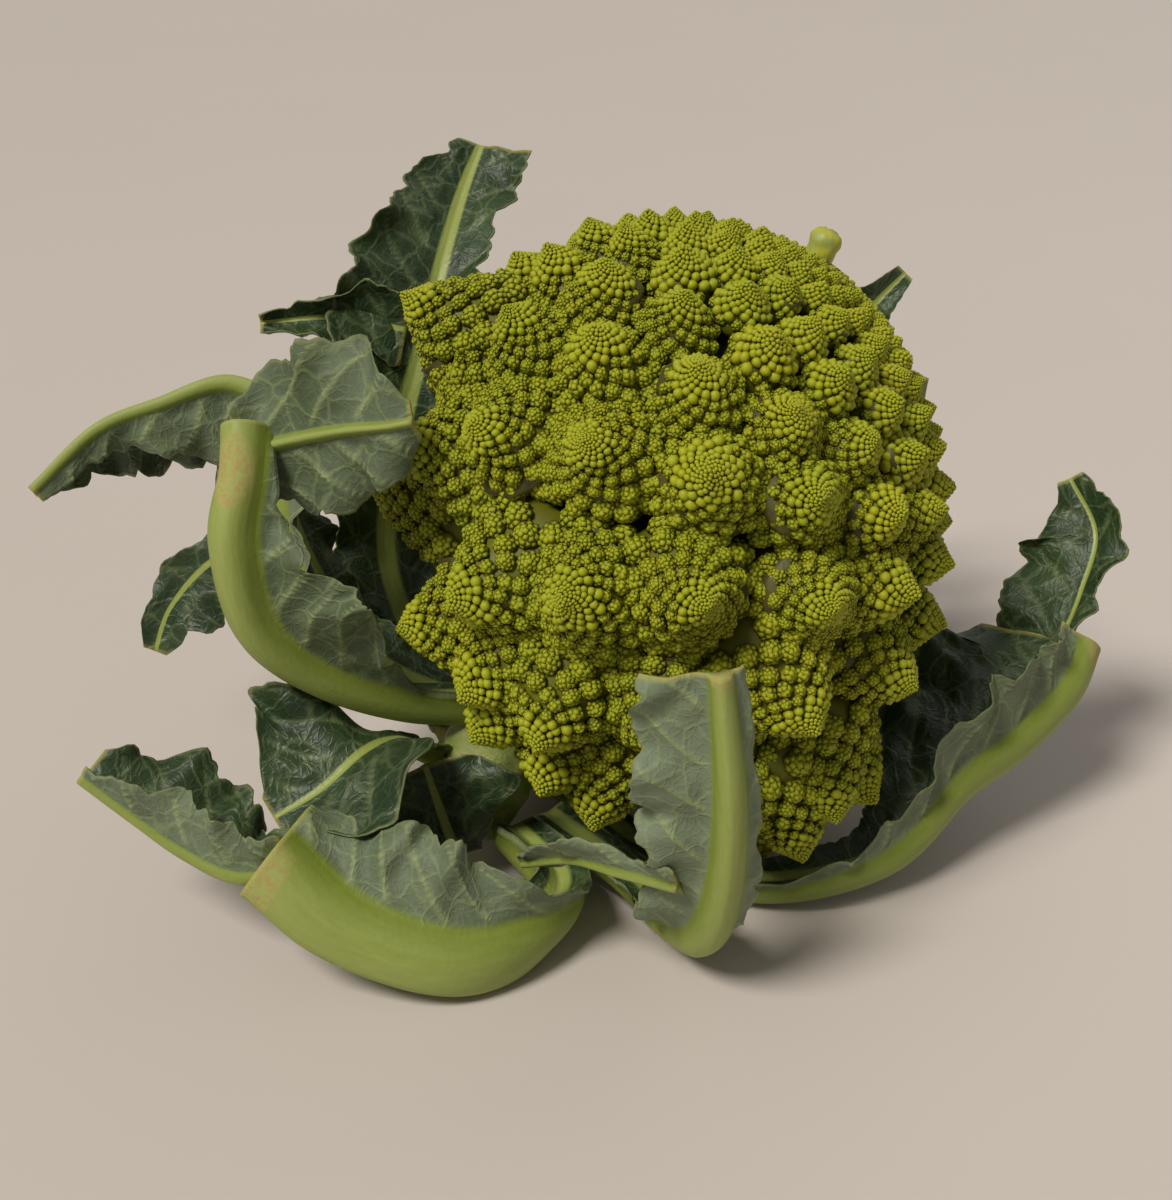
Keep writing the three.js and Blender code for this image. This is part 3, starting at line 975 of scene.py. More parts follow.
# One row of a leaf's blade: where its rib is, the way its upper face looks, and for each side its
# width, the angle at which it leaves the rib and how much further it curls, then the rib's half
# width. Left and right are as seen from the upper face, looking towards the tip. Millimetres.
LEAVES = {
    "front_leaf": [
        [
            ((-10, -22, 14), (0, 0, 1), (4.8, 10, 10), (4.8, 10, 10), 4.2),
            ((10, -43, 11), (0, 0, 1), (5.4, 15, 0), (6, 15, 0), 4.4),
            ((21, -60, 10), (0, 0.4, 1), (10, 15, 0), (12, 15, 0), 4.6),
            ((28, -74, 17), (0, 1, 0.6), (11, 10, 10), (19, 10, 0), 4.5),
            ((31, -84, 36), (0, 1, 0.1), (9, 10, 10), (18, 10, 0), 3.8),
            ((31, -88, 62), (0, 1, -0.1), (7, 15, 10), (23, 5, 10), 3.2),
            ((28, -86, 92), (0, 1, -0.2), (6, 15, 10), (19, 8, 10), 2.2),
        ],
        [
            ((21, -83, 36), (0, 0.8, 0.5), (8, 0, 0), (8, 0, 0), 1.4),
            ((8, -77, 36), (0, 0.8, 0.5), (8, 0, 10), (8, 0, 10), 1.4),
            ((-3, -68, 33), (0, 0.8, 0.5), (11, 0, 10), (6, 0, 10), 1.2),
            ((-15, -63, 28), (0, 0.8, 0.5), (3, 0, 10), (3, 0, 10), 1),
        ],
    ],
    "front_left_leaf": [
        [
            ((-19, -30, 15), (0.1, 0.2, 1), (6, 20, 0), (6, 20, 0), 5),
            ((-7, -49, 13), (0.3, 0.5, 0.9), (8, 40, 20), (7, 20, 0), 5.6),
            ((-12, -63, 11), (0.4, 0.6, 0.7), (17, 40, 20), (8, 20, 0), 6.4),
            ((-31, -75, 10), (0, 0.8, 0.6), (28, 35, 30), (8, 20, 0), 7),
            ((-57, -72, 18), (-0.1, 0.8, 0.6), (30, 35, 60), (9, 20, 0), 7.5),
            ((-75, -66, 30), (-0.3, 0.8, 0.5), (34, 30, 150), (9, 20, 0), 7.5),
        ],
        [
            ((-70, -66, 28), (0.2, 0.5, 0.85), (12, 50, 10), (12, 50, 0), 1.4),
            ((-82, -66, 26), (0.2, 0.5, 0.85), (14, 50, 10), (18, 50, 0), 1.4),
            ((-95, -61, 29), (0.2, 0.5, 0.85), (15, 50, 10), (24, 50, 0), 1.2),
            ((-107, -56, 35), (0.2, 0.5, 0.85), (13, 50, 10), (24, 50, 0), 1),
            ((-121, -50, 43), (0.2, 0.5, 0.85), (4, 50, 0), (8, 50, 0), 1),
        ],
    ],
    "left_leaf": [
        [
            ((-27, -17, 46), (0.3, 0.2, 1), (7, 20, 0), (7, 20, 0), 5),
            ((-45, -20, 49), (0.3, 0.5, 0.8), (7, 20, 0), (6, 20, 0), 5),
            ((-65, -27, 60), (0.3, 0.8, 0.5), (26, 5, 10), (6, 10, 30), 5),
            ((-78, -31, 75), (0.3, 0.9, 0.3), (34, 0, 10), (6, 10, 40), 5.4),
            ((-82, -30, 96), (0.3, 0.9, 0.1), (16, 0, 10), (6, 10, 40), 5.4),
            ((-80, -23, 110), (0.3, 0.9, -0.2), (8, 0, 10), (6, 10, 40), 5),
            ((-80, -16, 119), (0.3, 0.9, -0.4), (6, 10, 10), (6, 10, 40), 5),
        ],
        [
            ((-82, -18, 113), (0, 0.9, -0.4), (10, 0, 0), (14, 0, 0), 1.4),
            ((-71, -19, 117), (0.1, 0.95, -0.2), (19, 0, 0), (19, 0, 0), 1.4),
            ((-57, -25, 122), (0.1, 0.95, -0.2), (20, 0, 10), (23, 0, 10), 1.2),
            ((-46, -30, 125), (0.1, 0.95, -0.2), (15, 0, 10), (18, 0, 10), 1),
            ((-39, -32, 127), (0.1, 0.95, -0.2), (5, 0, 10), (5, 0, 10), 1),
        ],
        [
            ((-80, -24, 92), (0, -0.8, 0.5), (9, 0, 0), (9, 0, 0), 1.4),
            ((-93, -18, 84), (0, -0.8, 0.5), (16, 0, 10), (9, 0, 10), 1.4),
            ((-103, -20, 73), (0, -0.8, 0.5), (12, 0, 10), (7, 0, 10), 1),
            ((-107, -24, 63), (0, -0.8, 0.5), (3, 0, 10), (3, 0, 10), 1),
        ],
    ],
    "left_back_leaf": [
        [
            ((-31, -4, 36), (0.3, -0.2, 1), (7, 20, 0), (7, 20, 0), 5),
            ((-58, 6, 46), (0.6, -0.2, 0.8), (12, 20, 0), (12, 20, 0), 4.6),
            ((-77, 20, 75), (0.9, -0.1, 0.2), (16, 20, 0), (14, 20, 0), 4),
            ((-82, 32, 102), (0.8, 0, -0.6), (22, 40, 10), (18, 40, 10), 2.4),
            ((-95, 36, 111), (0.1, 0.1, -1), (26, 45, 60), (36, 70, 10), 1.6),
            ((-113, 31, 107), (0, 0.1, -1), (28, 45, 60), (16, 60, 10), 1.2),
            ((-129, 25, 102), (0, 0.1, -1), (22, 45, 60), (9, 60, 10), 1.0),
            ((-144, 13, 90), (0, 0.1, -1), (4, 60, 0), (4, 60, 0), 0.8),
        ],
    ],
    "back_leaf": [
        [
            ((-35, -1, 27), (-0.2, 0.1, 1), (7, 20, 0), (6, 20, 0), 5),
            ((-47, 28, 32), (0.2, -0.2, 0.9), (12, 20, 0), (10, 20, 0), 5.4),
            ((-58, 52, 54), (0.5, -0.6, 0.6), (20, 10, 10), (16, 10, 10), 5.4),
            ((-54, 70, 84), (0.4, -0.75, 0.4), (27, 10, 10), (18, 10, 10), 5),
            ((-47, 83, 109), (0.2, -0.85, 0.5), (30, 10, 10), (18, 20, 20), 4.4),
            ((-42, 99, 128), (0.1, -0.85, 0.5), (26, 10, 20), (16, 20, 30), 4),
            ((-37, 117, 143), (0.1, -0.85, 0.5), (17, 10, 20), (18, 20, 10), 3.4),
            ((-32, 129, 154), (0, -0.85, 0.4), (8, 10, 0), (18, 20, 0), 2.4),
        ],
        [
            ((-52, 80, 112), (0, -0.9, 0.3), (12, 0, 20), (14, 0, 20), 1.4),
            ((-72, 82, 115), (0, -0.9, 0.3), (14, 20, 60), (12, 20, 60), 1.4),
            ((-94, 80, 114), (0, -0.9, 0.3), (4, 20, 40), (4, 20, 40), 1),
        ],
    ],
    "right_leaf": [
        [
            ((-8, -5, 15), (0, 0, 1), (4.8, 10, 0), (4.8, 10, 0), 4.2),
            ((18, -30, 7.5), (0, 0, 1), (5, 10, 0), (5, 10, 0), 4.2),
            ((46, -44, 8), (0, 0, 1), (6, 30, 0), (7, 30, 0), 4.2),
            ((76, -38, 12), (-0.3, 0, 1), (12, 20, 10), (12, 60, 10), 4.2),
            ((96, -24, 25), (-0.4, 0.1, 0.9), (30, 30, 10), (20, 65, 10), 4.2),
            ((112, -12, 30), (-0.5, 0.1, 0.9), (40, 35, 10), (24, 65, 10), 4.4),
            ((127, 0, 39), (-0.7, 0, 0.7), (38, 35, 10), (20, 60, 10), 4.4),
            ((133, 9, 48), (-0.9, 0, 0.5), (32, 30, 10), (12, 50, 10), 4.2),
        ],
        [
            ((128, 10, 46), (-0.9, -0.2, 0.3), (24, 20, 0), (4, 10, 0), 1.4),
            ((135, 20, 58), (-0.8, -0.4, 0.3), (22, 20, 0), (9, 10, 0), 1.4),
            ((140, 31, 70), (-0.6, -0.6, 0.3), (20, 20, 0), (11, 10, 0), 1.2),
            ((134, 41, 82), (-0.5, -0.6, 0.3), (4, 20, 0), (4, 10, 0), 1),
        ],
    ],
    "small_leaf": [
        [
            ((-38, -20, 32), (-0.5, -0.2, 0.8), (5, 10, 0), (5, 10, 0), 3),
            ((-47, -27, 40), (-0.4, -0.2, 1), (12, 0, 0), (10, 0, 0), 2.6),
            ((-55, -37, 42), (0, -0.3, 1), (24, 10, 30), (26, 10, 20), 2.2),
            ((-65, -45, 36), (0, -0.5, 1), (22, 10, 30), (30, 10, 20), 1.8),
            ((-76, -50, 31), (0, -0.6, 1), (6, 10, 0), (8, 10, 0), 1.2),
        ],
    ],
    "dark_leaf": [
        [
            ((-32, -33, 8), (0, -0.8, 0.6), (6, 10, 0), (5, 10, 0), 2.6),
            ((-34, -40, 18), (0, -0.8, 0.6), (15, 10, 10), (12, 5, 0), 2.2),
            ((-37, -39, 28), (0, -0.8, 0.6), (17, 10, 10), (22, 0, 0), 1.8),
            ((-40, -36, 37), (0, -0.8, 0.6), (8, 10, 0), (14, 0, 0), 1.2),
        ],
    ],
    "back_right_leaf": [
        [
            ((-25, 2, 24), (0, 0, 1), (6, 20, 0), (6, 20, 0), 4.6),
            ((-22, 32, 10), (0, -0.1, 1), (8, 20, 0), (9, 20, 0), 4.8),
            ((-8, 66, 12), (0, -0.4, 1), (16, 20, 10), (14, 20, 10), 5),
            ((22, 92, 34), (-0.2, -0.9, 0.6), (26, 15, 10), (22, 15, 10), 4),
            ((54, 105, 70), (-0.2, -1, 0.3), (26, 10, 10), (16, 10, 10), 3),
            ((80, 104, 104), (-0.2, -1, 0.1), (12, 10, 10), (10, 10, 10), 2),
            ((96, 107, 121), (-0.2, -1, 0.1), (3, 10, 10), (3, 10, 10), 1),
        ],
    ],
    "right_back_leaf": [
        [
            ((-14, 2, 18), (0, 0, 1), (6, 20, 0), (6, 20, 0), 4.4),
            ((2, 40, 8), (0, 0, 1), (7, 10, 0), (7, 10, 0), 4.4),
            ((44, 70, 12), (-0.3, -0.2, 1), (18, 30, 10), (18, 30, 10), 4.4),
            ((76, 82, 36), (-0.6, -0.4, 0.6), (18, 30, 20), (22, 30, 20), 3.6),
            ((94, 86, 68), (-0.7, -0.6, 0.2), (16, 30, 40), (18, 30, 40), 2.8),
            ((100, 90, 94), (-0.7, -0.6, 0.1), (8, 30, 40), (8, 30, 40), 1.6),
        ],
    ],
}


# How much bloom each leaf's underside has, and partly how lit it is: leaves in shade, under the
# head or behind it, get low values, which paints shade on them
WAXY_AND_SHADE = {
    "front_leaf": 1.0,
    "front_left_leaf": 0.65,
    "left_leaf": 0.35,
    "left_back_leaf": 0.55,
    "back_leaf": 0.3,
    "right_leaf": 0.75,
    "small_leaf": 0.25,
    "dark_leaf": 0.0,
    "back_right_leaf": 0.5,
    "right_back_leaf": 0.4,
}


# Dried slanting cuts through a midrib's underside: how far each lies from the blade's end, half
# its length and half its width
CUTS = {
    "left_leaf": (12, 9, 4.2),
    "front_left_leaf": (2, 6, 6.5),
    "right_leaf": (1, 7, 3.8),
    "front_leaf": (0, 2.5, 2.4),
}


# A blade's grid: the fewest and the most columns on each side of its rib, and its rows' spacing
FEWEST_ACROSS, MOST_ACROSS, ROW_STEP = 14, 40, 1.15
FLOOR_GAP = 0.25


def spline(values, t):
    """A smooth run through evenly spaced values, and its slope, at each t from 0 to 1."""
    p = np.asarray(values, float)
    if p.ndim == 1:
        p = p[:, None]
    p = np.vstack([2 * p[0] - p[1], p, 2 * p[-1] - p[-2]])
    x = np.asarray(t) * (len(p) - 3)
    i = np.minimum(x.astype(int), len(p) - 4)
    w = (x - i)[:, None]
    a, b, c, d = p[i], p[i + 1], p[i + 2], p[i + 3]
    square, cube = 2 * a - 5 * b + 4 * c - d, 3 * b - a - 3 * c + d
    here = b + 0.5 * w * ((c - a) + w * (square + w * cube))
    slope = 0.5 * ((c - a) + w * (2 * square + 3 * w * cube))
    return here, slope


def unit(vectors):
    return vectors / np.maximum(np.linalg.norm(vectors, axis=-1, keepdims=True), 1e-9)


def smooth_step(low, high, x):
    s = np.clip((x - low) / (high - low), 0, 1)
    return s * s * (3 - 2 * s)


def wander(x, y, seed):
    """Smooth noise from about -1 to 1 at each pair of numbers."""
    x, y = np.broadcast_arrays(x, y)
    flat = [
        noise.noise(Vector((a, b, seed * 7.31))) for a, b in zip(x.ravel(), y.ravel())
    ]
    return np.array(flat).reshape(x.shape) * 1.6


def vein_distance(along, out, side, spacing, seed):
    """How far each point of a blade lies from its nearest side vein, in millimetres. Side veins
    leave the rib at a slant and bend towards the tip."""
    bend = 0.75 * out + 0.012 * out**2
    stray = 0.16 * wander(along / 21, out / 26, seed)
    phase = (along - bend) / spacing + (0.5 if side > 0 else 0.0) + stray
    return np.abs(phase - np.round(phase)) * spacing * 0.8


class Blade:
    """One blade's grid: its two faces and what its finish reads."""

    def __init__(self, stations, sizes, seed, across, step):
        self.seed = seed
        at = [row[0] for row in stations]
        fine, _ = spline(at, np.linspace(0, 1, 400))
        run = np.concatenate([[0], np.cumsum(np.linalg.norm(np.diff(fine, axis=0), axis=1))])
        rows = max(12, int(run[-1] / step))
        self.t = np.interp(np.linspace(0, run[-1], rows + 1), run, np.linspace(0, 1, 400))
        self.along = np.interp(self.t, np.linspace(0, 1, 400), run)
        self.middle, slope = spline(at, self.t)
        forward = unit(slope)
        up, _ = spline([row[1] for row in stations], self.t)
        self.up = unit(up - forward * (up * forward).sum(1, keepdims=True))
        self.sideways = np.cross(forward, self.up)
        self.rib = np.maximum(spline([row[4] for row in stations], self.t)[0][:, 0], 0.4)
        halves = [self.half(stations, sizes, side, across) for side in (-1, 1)]
        left, right = halves
        self.parts = {
            name: np.concatenate([left[name][:, ::-1], right[name][:, 1:]], axis=1)
            for name in left
        }

    def half(self, stations, sizes, side, across):
        """One side of the blade, from the middle of its rib out to its hem."""
        section, _ = spline([row[2 if side < 0 else 3] for row in stations], self.t)
        rib = self.rib[:, None]
        full = np.maximum(section[:, :1], rib + 0.5)
        share = np.concatenate([np.linspace(0, 1, 8), 1 + np.linspace(0, 1, across + 1)[1:]])
        in_blade = np.clip(share - 1, 0, 1)[None, :]
        width = full - self.teeth(full, rib, side, sizes)
        distance = np.minimum(share, 1) * rib + in_blade * (width - rib)
        start = np.radians(section[:, 1:2])
        rate = np.radians(section[:, 2:3])
        rate = np.where(np.abs(rate) < 1e-6, 1e-6, rate) / full
        lean_here = start + rate * distance
        out = (np.sin(lean_here) - np.sin(start)) / rate
        high = (np.cos(start) - np.cos(lean_here)) / rate
        facing = lean_here * np.minimum(1, distance / rib)
        sideways = self.sideways[:, None, :] * side
        up = self.up[:, None, :]
        outward = up * np.cos(facing)[..., None] - sideways * np.sin(facing)[..., None]
        along = np.broadcast_to(self.along[:, None], distance.shape)
        gap = distance - rib
        veins = vein_distance(along, gap, side, sizes.vein_spacing / MM, self.seed)
        leafy = smooth_step(0.3, 3.0, gap)
        thick = 0.75 * np.clip(1.15 - 0.8 * in_blade, 0.35, 1)
        vein = np.exp(-((veins / thick) ** 2)) * leafy
        quilt = 1 - np.exp(-((veins / 3.2) ** 2))
        reach = np.clip(gap / np.maximum(full - rib, 1), 0, 1)
        ends = smooth_step(0.0, 0.06, self.t)[:, None]
        wave = self.ripple(along, gap, side) * reach**1.6 * np.clip((full - rib) / 14, 0, 1.2)
        sheet = wave + leafy * (0.55 * quilt + 0.5 * wander(along / 6, gap / 6, self.seed + 3))
        x = distance / rib
        swell = np.where(x < 1, np.sqrt(np.clip(1 - x**2, 0, 1)), 0)
        swell = np.maximum(swell, 0.5 * np.exp(-np.clip(x - 0.8, 0, None) * 3.5))
        swell = RIB_DEPTH * rib * swell
        hem = smooth_step(0.86, 1.0, in_blade) * np.ones_like(distance)
        thin = (sizes.blade_thickness / MM) * (1 - 0.45 * hem)
        place = self.middle[:, None, :] + sideways * out[..., None] + up * high[..., None]
        upper = place + outward * (sheet * ends - 0.28 * vein)[..., None]
        raised = sizes.vein_height / MM * vein * (1 - hem)
        lower = place + outward * (sheet * ends - thin - swell - raised)[..., None]
        return {
            "upper": upper,
            "lower": lower,
            "rib_share": 1 - smooth_step(0.85, 1.5, x),
            "rib_above": 0.85 - 0.85 * smooth_step(0.35, 0.8, x),
            "crest": np.clip(1 - x**2, 0, 1),
            "vein": vein,
            "hem": hem,
            "across": distance * side,
            "along": along,
        }

    def teeth(self, full, rib, side, sizes):
        """How much the hem is notched, row by row."""
        depth = sizes.tooth_depth / MM
        along = self.along
        shift = side * 3.7 + self.seed
        big = np.abs(np.sin(along * math.pi / 15.0 + shift + wander(along / 20, shift, 5)))
        fine = np.abs(np.sin(along * math.pi / 4.6 + shift + 1.5 * wander(along / 9, shift, 8)))
        cut = depth * (1 - big**0.6) * 2.2 + depth * 0.7 * (1 - fine**0.8)
        cut += depth * 1.3 * np.clip(wander(along / 7, shift, 2), 0, 1)
        return cut[:, None] * smooth_step(1.5, 9, full - rib)

    def ripple(self, along, gap, side):
        """The hem's waves, in millimetres at the hem."""
        shift = side * 2.1 + self.seed * 1.7
        stray = wander(along / 34, gap / 40 + side, self.seed)
        crimp = 0.7 * np.sin(along / 1.45 + 2 * shift + 4 * stray)
        return 2.7 * np.sin(along / 3.4 + shift + 2.4 * stray) + 4.2 * stray + crimp


def blade_mesh(blade):
    """The blade's points, faces and what its finish reads, as a closed sheet with two faces."""
    parts = blade.parts
    rows, columns = parts["vein"].shape
    count = rows * columns
    points = np.concatenate([parts["upper"].reshape(-1, 3), parts["lower"].reshape(-1, 3)])
    ids = np.arange(count).reshape(rows, columns)
    a, b = ids[:-1, :-1], ids[:-1, 1:]
    c, d = ids[1:, 1:], ids[1:, :-1]
    over = np.stack([a, b, c, d], -1).reshape(-1, 4)
    under = np.stack([a, d, c, b], -1).reshape(-1, 4) + count
    rim = np.concatenate(
        [ids[0, :-1], ids[:-1, -1], ids[-1, :0:-1], ids[:0:-1, 0], ids[0, :1]]
    )
    side = np.stack([rim[:-1], rim[:-1] + count, rim[1:] + count, rim[1:]], -1)
    faces = np.concatenate([over, under, side])

    def both(name):
        return np.tile(parts[name].ravel(), 2)

    end = np.zeros((rows, columns))
    end[0] = end[-1] = 1
    marks = {
        "rib": np.concatenate([parts["rib_above"].ravel(), parts["rib_share"].ravel()]),
        "crest": both("crest"),
        "vein": both("vein"),
        "hem": both("hem"),
        "under": np.repeat([0.0, 1.0], count),
        "end": np.tile(end.ravel(), 2),
    }
    real = np.stack([both("across"), both("along")], -1) * 0.1
    grid_u, grid_v = np.meshgrid(np.linspace(0, 1, columns), np.linspace(0, 1, rows))
    half = np.stack([grid_u.ravel(), grid_v.ravel()], -1)
    flat = np.concatenate([half * (0.49, 1), half * (0.49, 1) + (0.51, 0)])
    return points, faces, marks, real, flat


def leaf_object(name, blades, sizes, seed, material):
    """A leaf's blades as one mesh, with its finish's maps and marks."""
    coarse = 1.0
    leaf = name.removesuffix("_blade")
    points, faces, marks, real, flat = [], [], [], [], []
    offset = 0
    for number, stations in enumerate(blades):
        widest = max(max(row[2][0], row[3][0]) for row in stations)
        across = int(max(FEWEST_ACROSS, min(MOST_ACROSS, widest * 1.1)) / coarse)
        blade = Blade(stations, sizes, seed + 3 * number, across, ROW_STEP * coarse)
        p, f, m, r, u = blade_mesh(blade)
        points.append(p)
        faces.append(f + offset)
        marks.append(m)
        real.append(r + (number * 3.0, number * 5.0))
        flat.append(u * (1, 0.98 / len(blades)) + (0, number / len(blades)))
        offset += len(p)
    if leaf in CUTS:
        back, half_long, half_wide = CUTS[leaf]
        across_at, along_at = (real[0][:, i] * 10 for i in (0, 1))
        far = ((along_at - along_at.max() + back) / half_long) ** 2
        far = np.sqrt(far + (across_at / half_wide) ** 2)
        cut = (1 - smooth_step(0.85, 1.05, far)) * marks[0]["under"]
        marks[0]["end"] = np.maximum(marks[0]["end"], cut)
    places = np.concatenate(points)
    places[:, 2] = np.maximum(places[:, 2], FLOOR_GAP)
    made = mesh_object(name, placed(places), np.concatenate(faces).tolist())
    mesh = made.data
    # Each leaf's share of bloom, partly painted shade
    mesh.attributes.new("waxy_and_shade", "FLOAT", "POINT").data.foreach_set(
        "value", np.full(len(places), WAXY_AND_SHADE[leaf], np.float32)
    )
    for key in marks[0]:
        values = np.concatenate([m[key] for m in marks]).astype(np.float32)
        mesh.attributes.new(key, "FLOAT", "POINT").data.foreach_set("value", values)
    corner = np.empty(len(mesh.loops), np.int32)
    mesh.loops.foreach_get("vertex_index", corner)
    for key, values in (("OFBake", flat), ("Blade", real)):
        layer = mesh.uv_layers.new(name=key)
        layer.uv.foreach_set("vector", np.concatenate(values)[corner].astype(np.float32).ravel())
    mesh.materials.append(material)
    return made


class ROMANESCO_OT_leaves(bpy.types.Operator):
    """Builds the ten leaves around the head"""

    bl_idname = "romanesco.leaves"
    bl_label = "Leaves"

    def execute(self, context):
        sizes = context.scene.romanesco_sizes
        material = leaf_finish()
        for number, (name, blades) in enumerate(LEAVES.items()):
            piece = leaf_object(f"{name}_blade", blades, sizes, sizes.seed + number, material)
            finish_piece(piece, "leaf", name)
        return {"FINISHED"}


# ---- The stalk ----


class ROMANESCO_OT_stalk(bpy.types.Operator):
    """Builds the cut stalk, with its leaf scars and its dried end"""

    bl_idname = "romanesco.stalk"
    bl_label = "Stalk"

    def execute(self, context):
        rows, columns = 70, 64
        turn = lean()
        points, ends = [], []
        skin = [(STALK_TOP + (STALK_END + 1.2 - STALK_TOP) * i / rows) for i in range(rows + 1)]
        cut = [(0.94, 0.4), (0.82, 0.1), (0.7, 0.5), (0.5, 0.9), (0.3, 1.2), (0.12, 1.3)]
        rings = [(1.0, height, 0.0) for height in skin]
        rings += [(share, STALK_END + rise, 1.0) for share, rise in cut]
        for share, height, end in rings:
            for j in range(columns):
                around = 2 * math.pi * j / columns
                side = Vector((math.cos(around), math.sin(around), height / 30))
                bumps = noise.noise(side * 2.2) * 0.9 + noise.noise(side * 6) * 0.35
                turns = (height / 17 + around / (2 * math.pi) * 2) % 1
                scar = math.exp(-(((turns - 0.5) / 0.07) ** 2)) * 0.9
                radius = (STALK_RADIUS - 1.1 + bumps - scar) * share
                local = Vector((radius * math.cos(around), radius * math.sin(around), height))
                points.append(turn @ local + HEAD_CENTRE)
                ends.append(end)
        piece = mesh_object("stalk_stump", placed(points), ring_faces(len(rings), columns))
        piece.data.attributes.new("end", "FLOAT", "POINT").data.foreach_set("value", ends)
        piece.data.materials.append(stalk_finish())
        finish_piece(piece, "stalk", "stalk")
        return {"FINISHED"}


# ---- Finishes ----


def new_material(name):
    """A material with nodes: its tree and its shader."""
    material = bpy.data.materials.new(name)
    material.use_nodes = True
    tree = material.node_tree
    return material, tree, tree.nodes["Principled BSDF"]


def mixed(tree, share, first, second):
    """One colour to another by a share."""
    made = tree.nodes.new("ShaderNodeMix")
    made.data_type = "RGBA"
    fill(tree, made.inputs["Factor"], share)
    for socket, value in ((made.inputs["A"], first), (made.inputs["B"], second)):
        colours = [s for s in made.inputs if s.name == socket.name and s.type == "RGBA"]
        value = value if isinstance(value, bpy.types.NodeSocket) else (*value, 1)
        fill(tree, colours[0], value)
    return next(s for s in made.outputs if s.type == "RGBA")


def mark(tree, name):
    """An attribute of the piece, as a number."""
    return Number(tree, node(tree, "ShaderNodeAttribute", attribute_name=name).outputs["Fac"])


def grain(tree, coordinates, scale, detail=3.0, rough=0.55):
    """Noise, as a number from 0 to 1."""
    made = node(
        tree,
        "ShaderNodeTexNoise",
        {"Vector": coordinates, "Scale": scale, "Detail": detail, "Roughness": rough},
    )
    return Number(tree, made.outputs["Fac"])


def ramped(tree, value, low, high):
    """A number stretched so that low is 0 and high is 1, smoothly."""
    made = node(
        tree,
        "ShaderNodeMapRange",
        {"Value": value, "From Min": low, "From Max": high},
        interpolation_type="SMOOTHSTEP",
    )
    return Number(tree, made.outputs[0])


def bumped(tree, shader, height, strength, millimetres):
    """Roughens a shader's surface by a height."""
    bump = node(
        tree,
        "ShaderNodeBump",
        {"Height": height, "Strength": strength, "Distance": millimetres * MM},
    )
    fill(tree, shader.inputs["Normal"], bump.outputs[0])


def curd_finish():
    """Yellow-green buds. The map's first number is how yellow a point is, its second how far out
    it lies, which mixes in painted shade at the feet of buds and the rims of florets."""
    colours = bpy.context.scene.romanesco_colours
    material, tree, shader = new_material("curd_buds")
    place = node(tree, "ShaderNodeUVMap", uv_map="OFBake").outputs[0]
    parts = node(tree, "ShaderNodeSeparateXYZ", {0: place}).outputs
    top = mixed(tree, parts[0], colours.bud_green, colours.bud_light)
    # Painted shade: points that lie low turn towards the shade colour
    lit_share = ramped(tree, parts[1], 0.1, 0.85)
    fill(tree, shader.inputs["Base Color"], mixed(tree, lit_share, colours.bud_painted_shade, top))
    shader.inputs["Roughness"].default_value = 0.52
    shader.inputs["Specular IOR Level"].default_value = 0.35
    return material


def branch_finish():
    """Stems in shade, darker by patches."""
    colours = bpy.context.scene.romanesco_colours
    material, tree, shader = new_material("branches_in_painted_shade")
    place = node(tree, "ShaderNodeTexCoord").outputs["Object"]
    patch = ramped(tree, grain(tree, place, 90), 0.35, 0.7)
    # Painted shade: both colours are darkened as the branches look under the florets
    fill(tree, shader.inputs["Base Color"], mixed(tree, patch, colours.branch, colours.bud_painted_shade))
    shader.inputs["Roughness"].default_value = 0.55
    bumped(tree, shader, grain(tree, place, 400), 0.3, 1.0)
    return material


def stump_finish():
    """Pale, moist flesh, greener in some patches and yellower in others."""
    colours = bpy.context.scene.romanesco_colours
    material, tree, shader = new_material("broken_flesh")
    place = node(tree, "ShaderNodeTexCoord").outputs["Object"]
    patch = ramped(tree, grain(tree, place, 260, 4), 0.35, 0.65)
    flesh = mixed(tree, patch, colours.rib_pale, colours.bud_light)
    fill(tree, shader.inputs["Base Color"], flesh)
    shader.inputs["Roughness"].default_value = 0.5
    bumped(tree, shader, grain(tree, place, 700, 4), 0.3, 0.7)
    return material


def stalk_finish():
    """Pale skin with a dried, corky cut."""
    colours = bpy.context.scene.romanesco_colours
    material, tree, shader = new_material("stalk_skin")
    place = node(tree, "ShaderNodeTexCoord").outputs["Object"]
    patch = ramped(tree, grain(tree, place, 110, 5), 0.35, 0.7)
    skin = mixed(tree, patch, colours.stalk, colours.rib)
    speckle = grain(tree, place, 900, 4)
    cork = mixed(tree, ramped(tree, speckle, 0.35, 0.65), colours.cut, colours.rib_pale)
    fill(tree, shader.inputs["Base Color"], mixed(tree, mark(tree, "end"), skin, cork))
    shader.inputs["Roughness"].default_value = 0.6
    bumped(tree, shader, speckle, 0.4, 0.8)
    return material


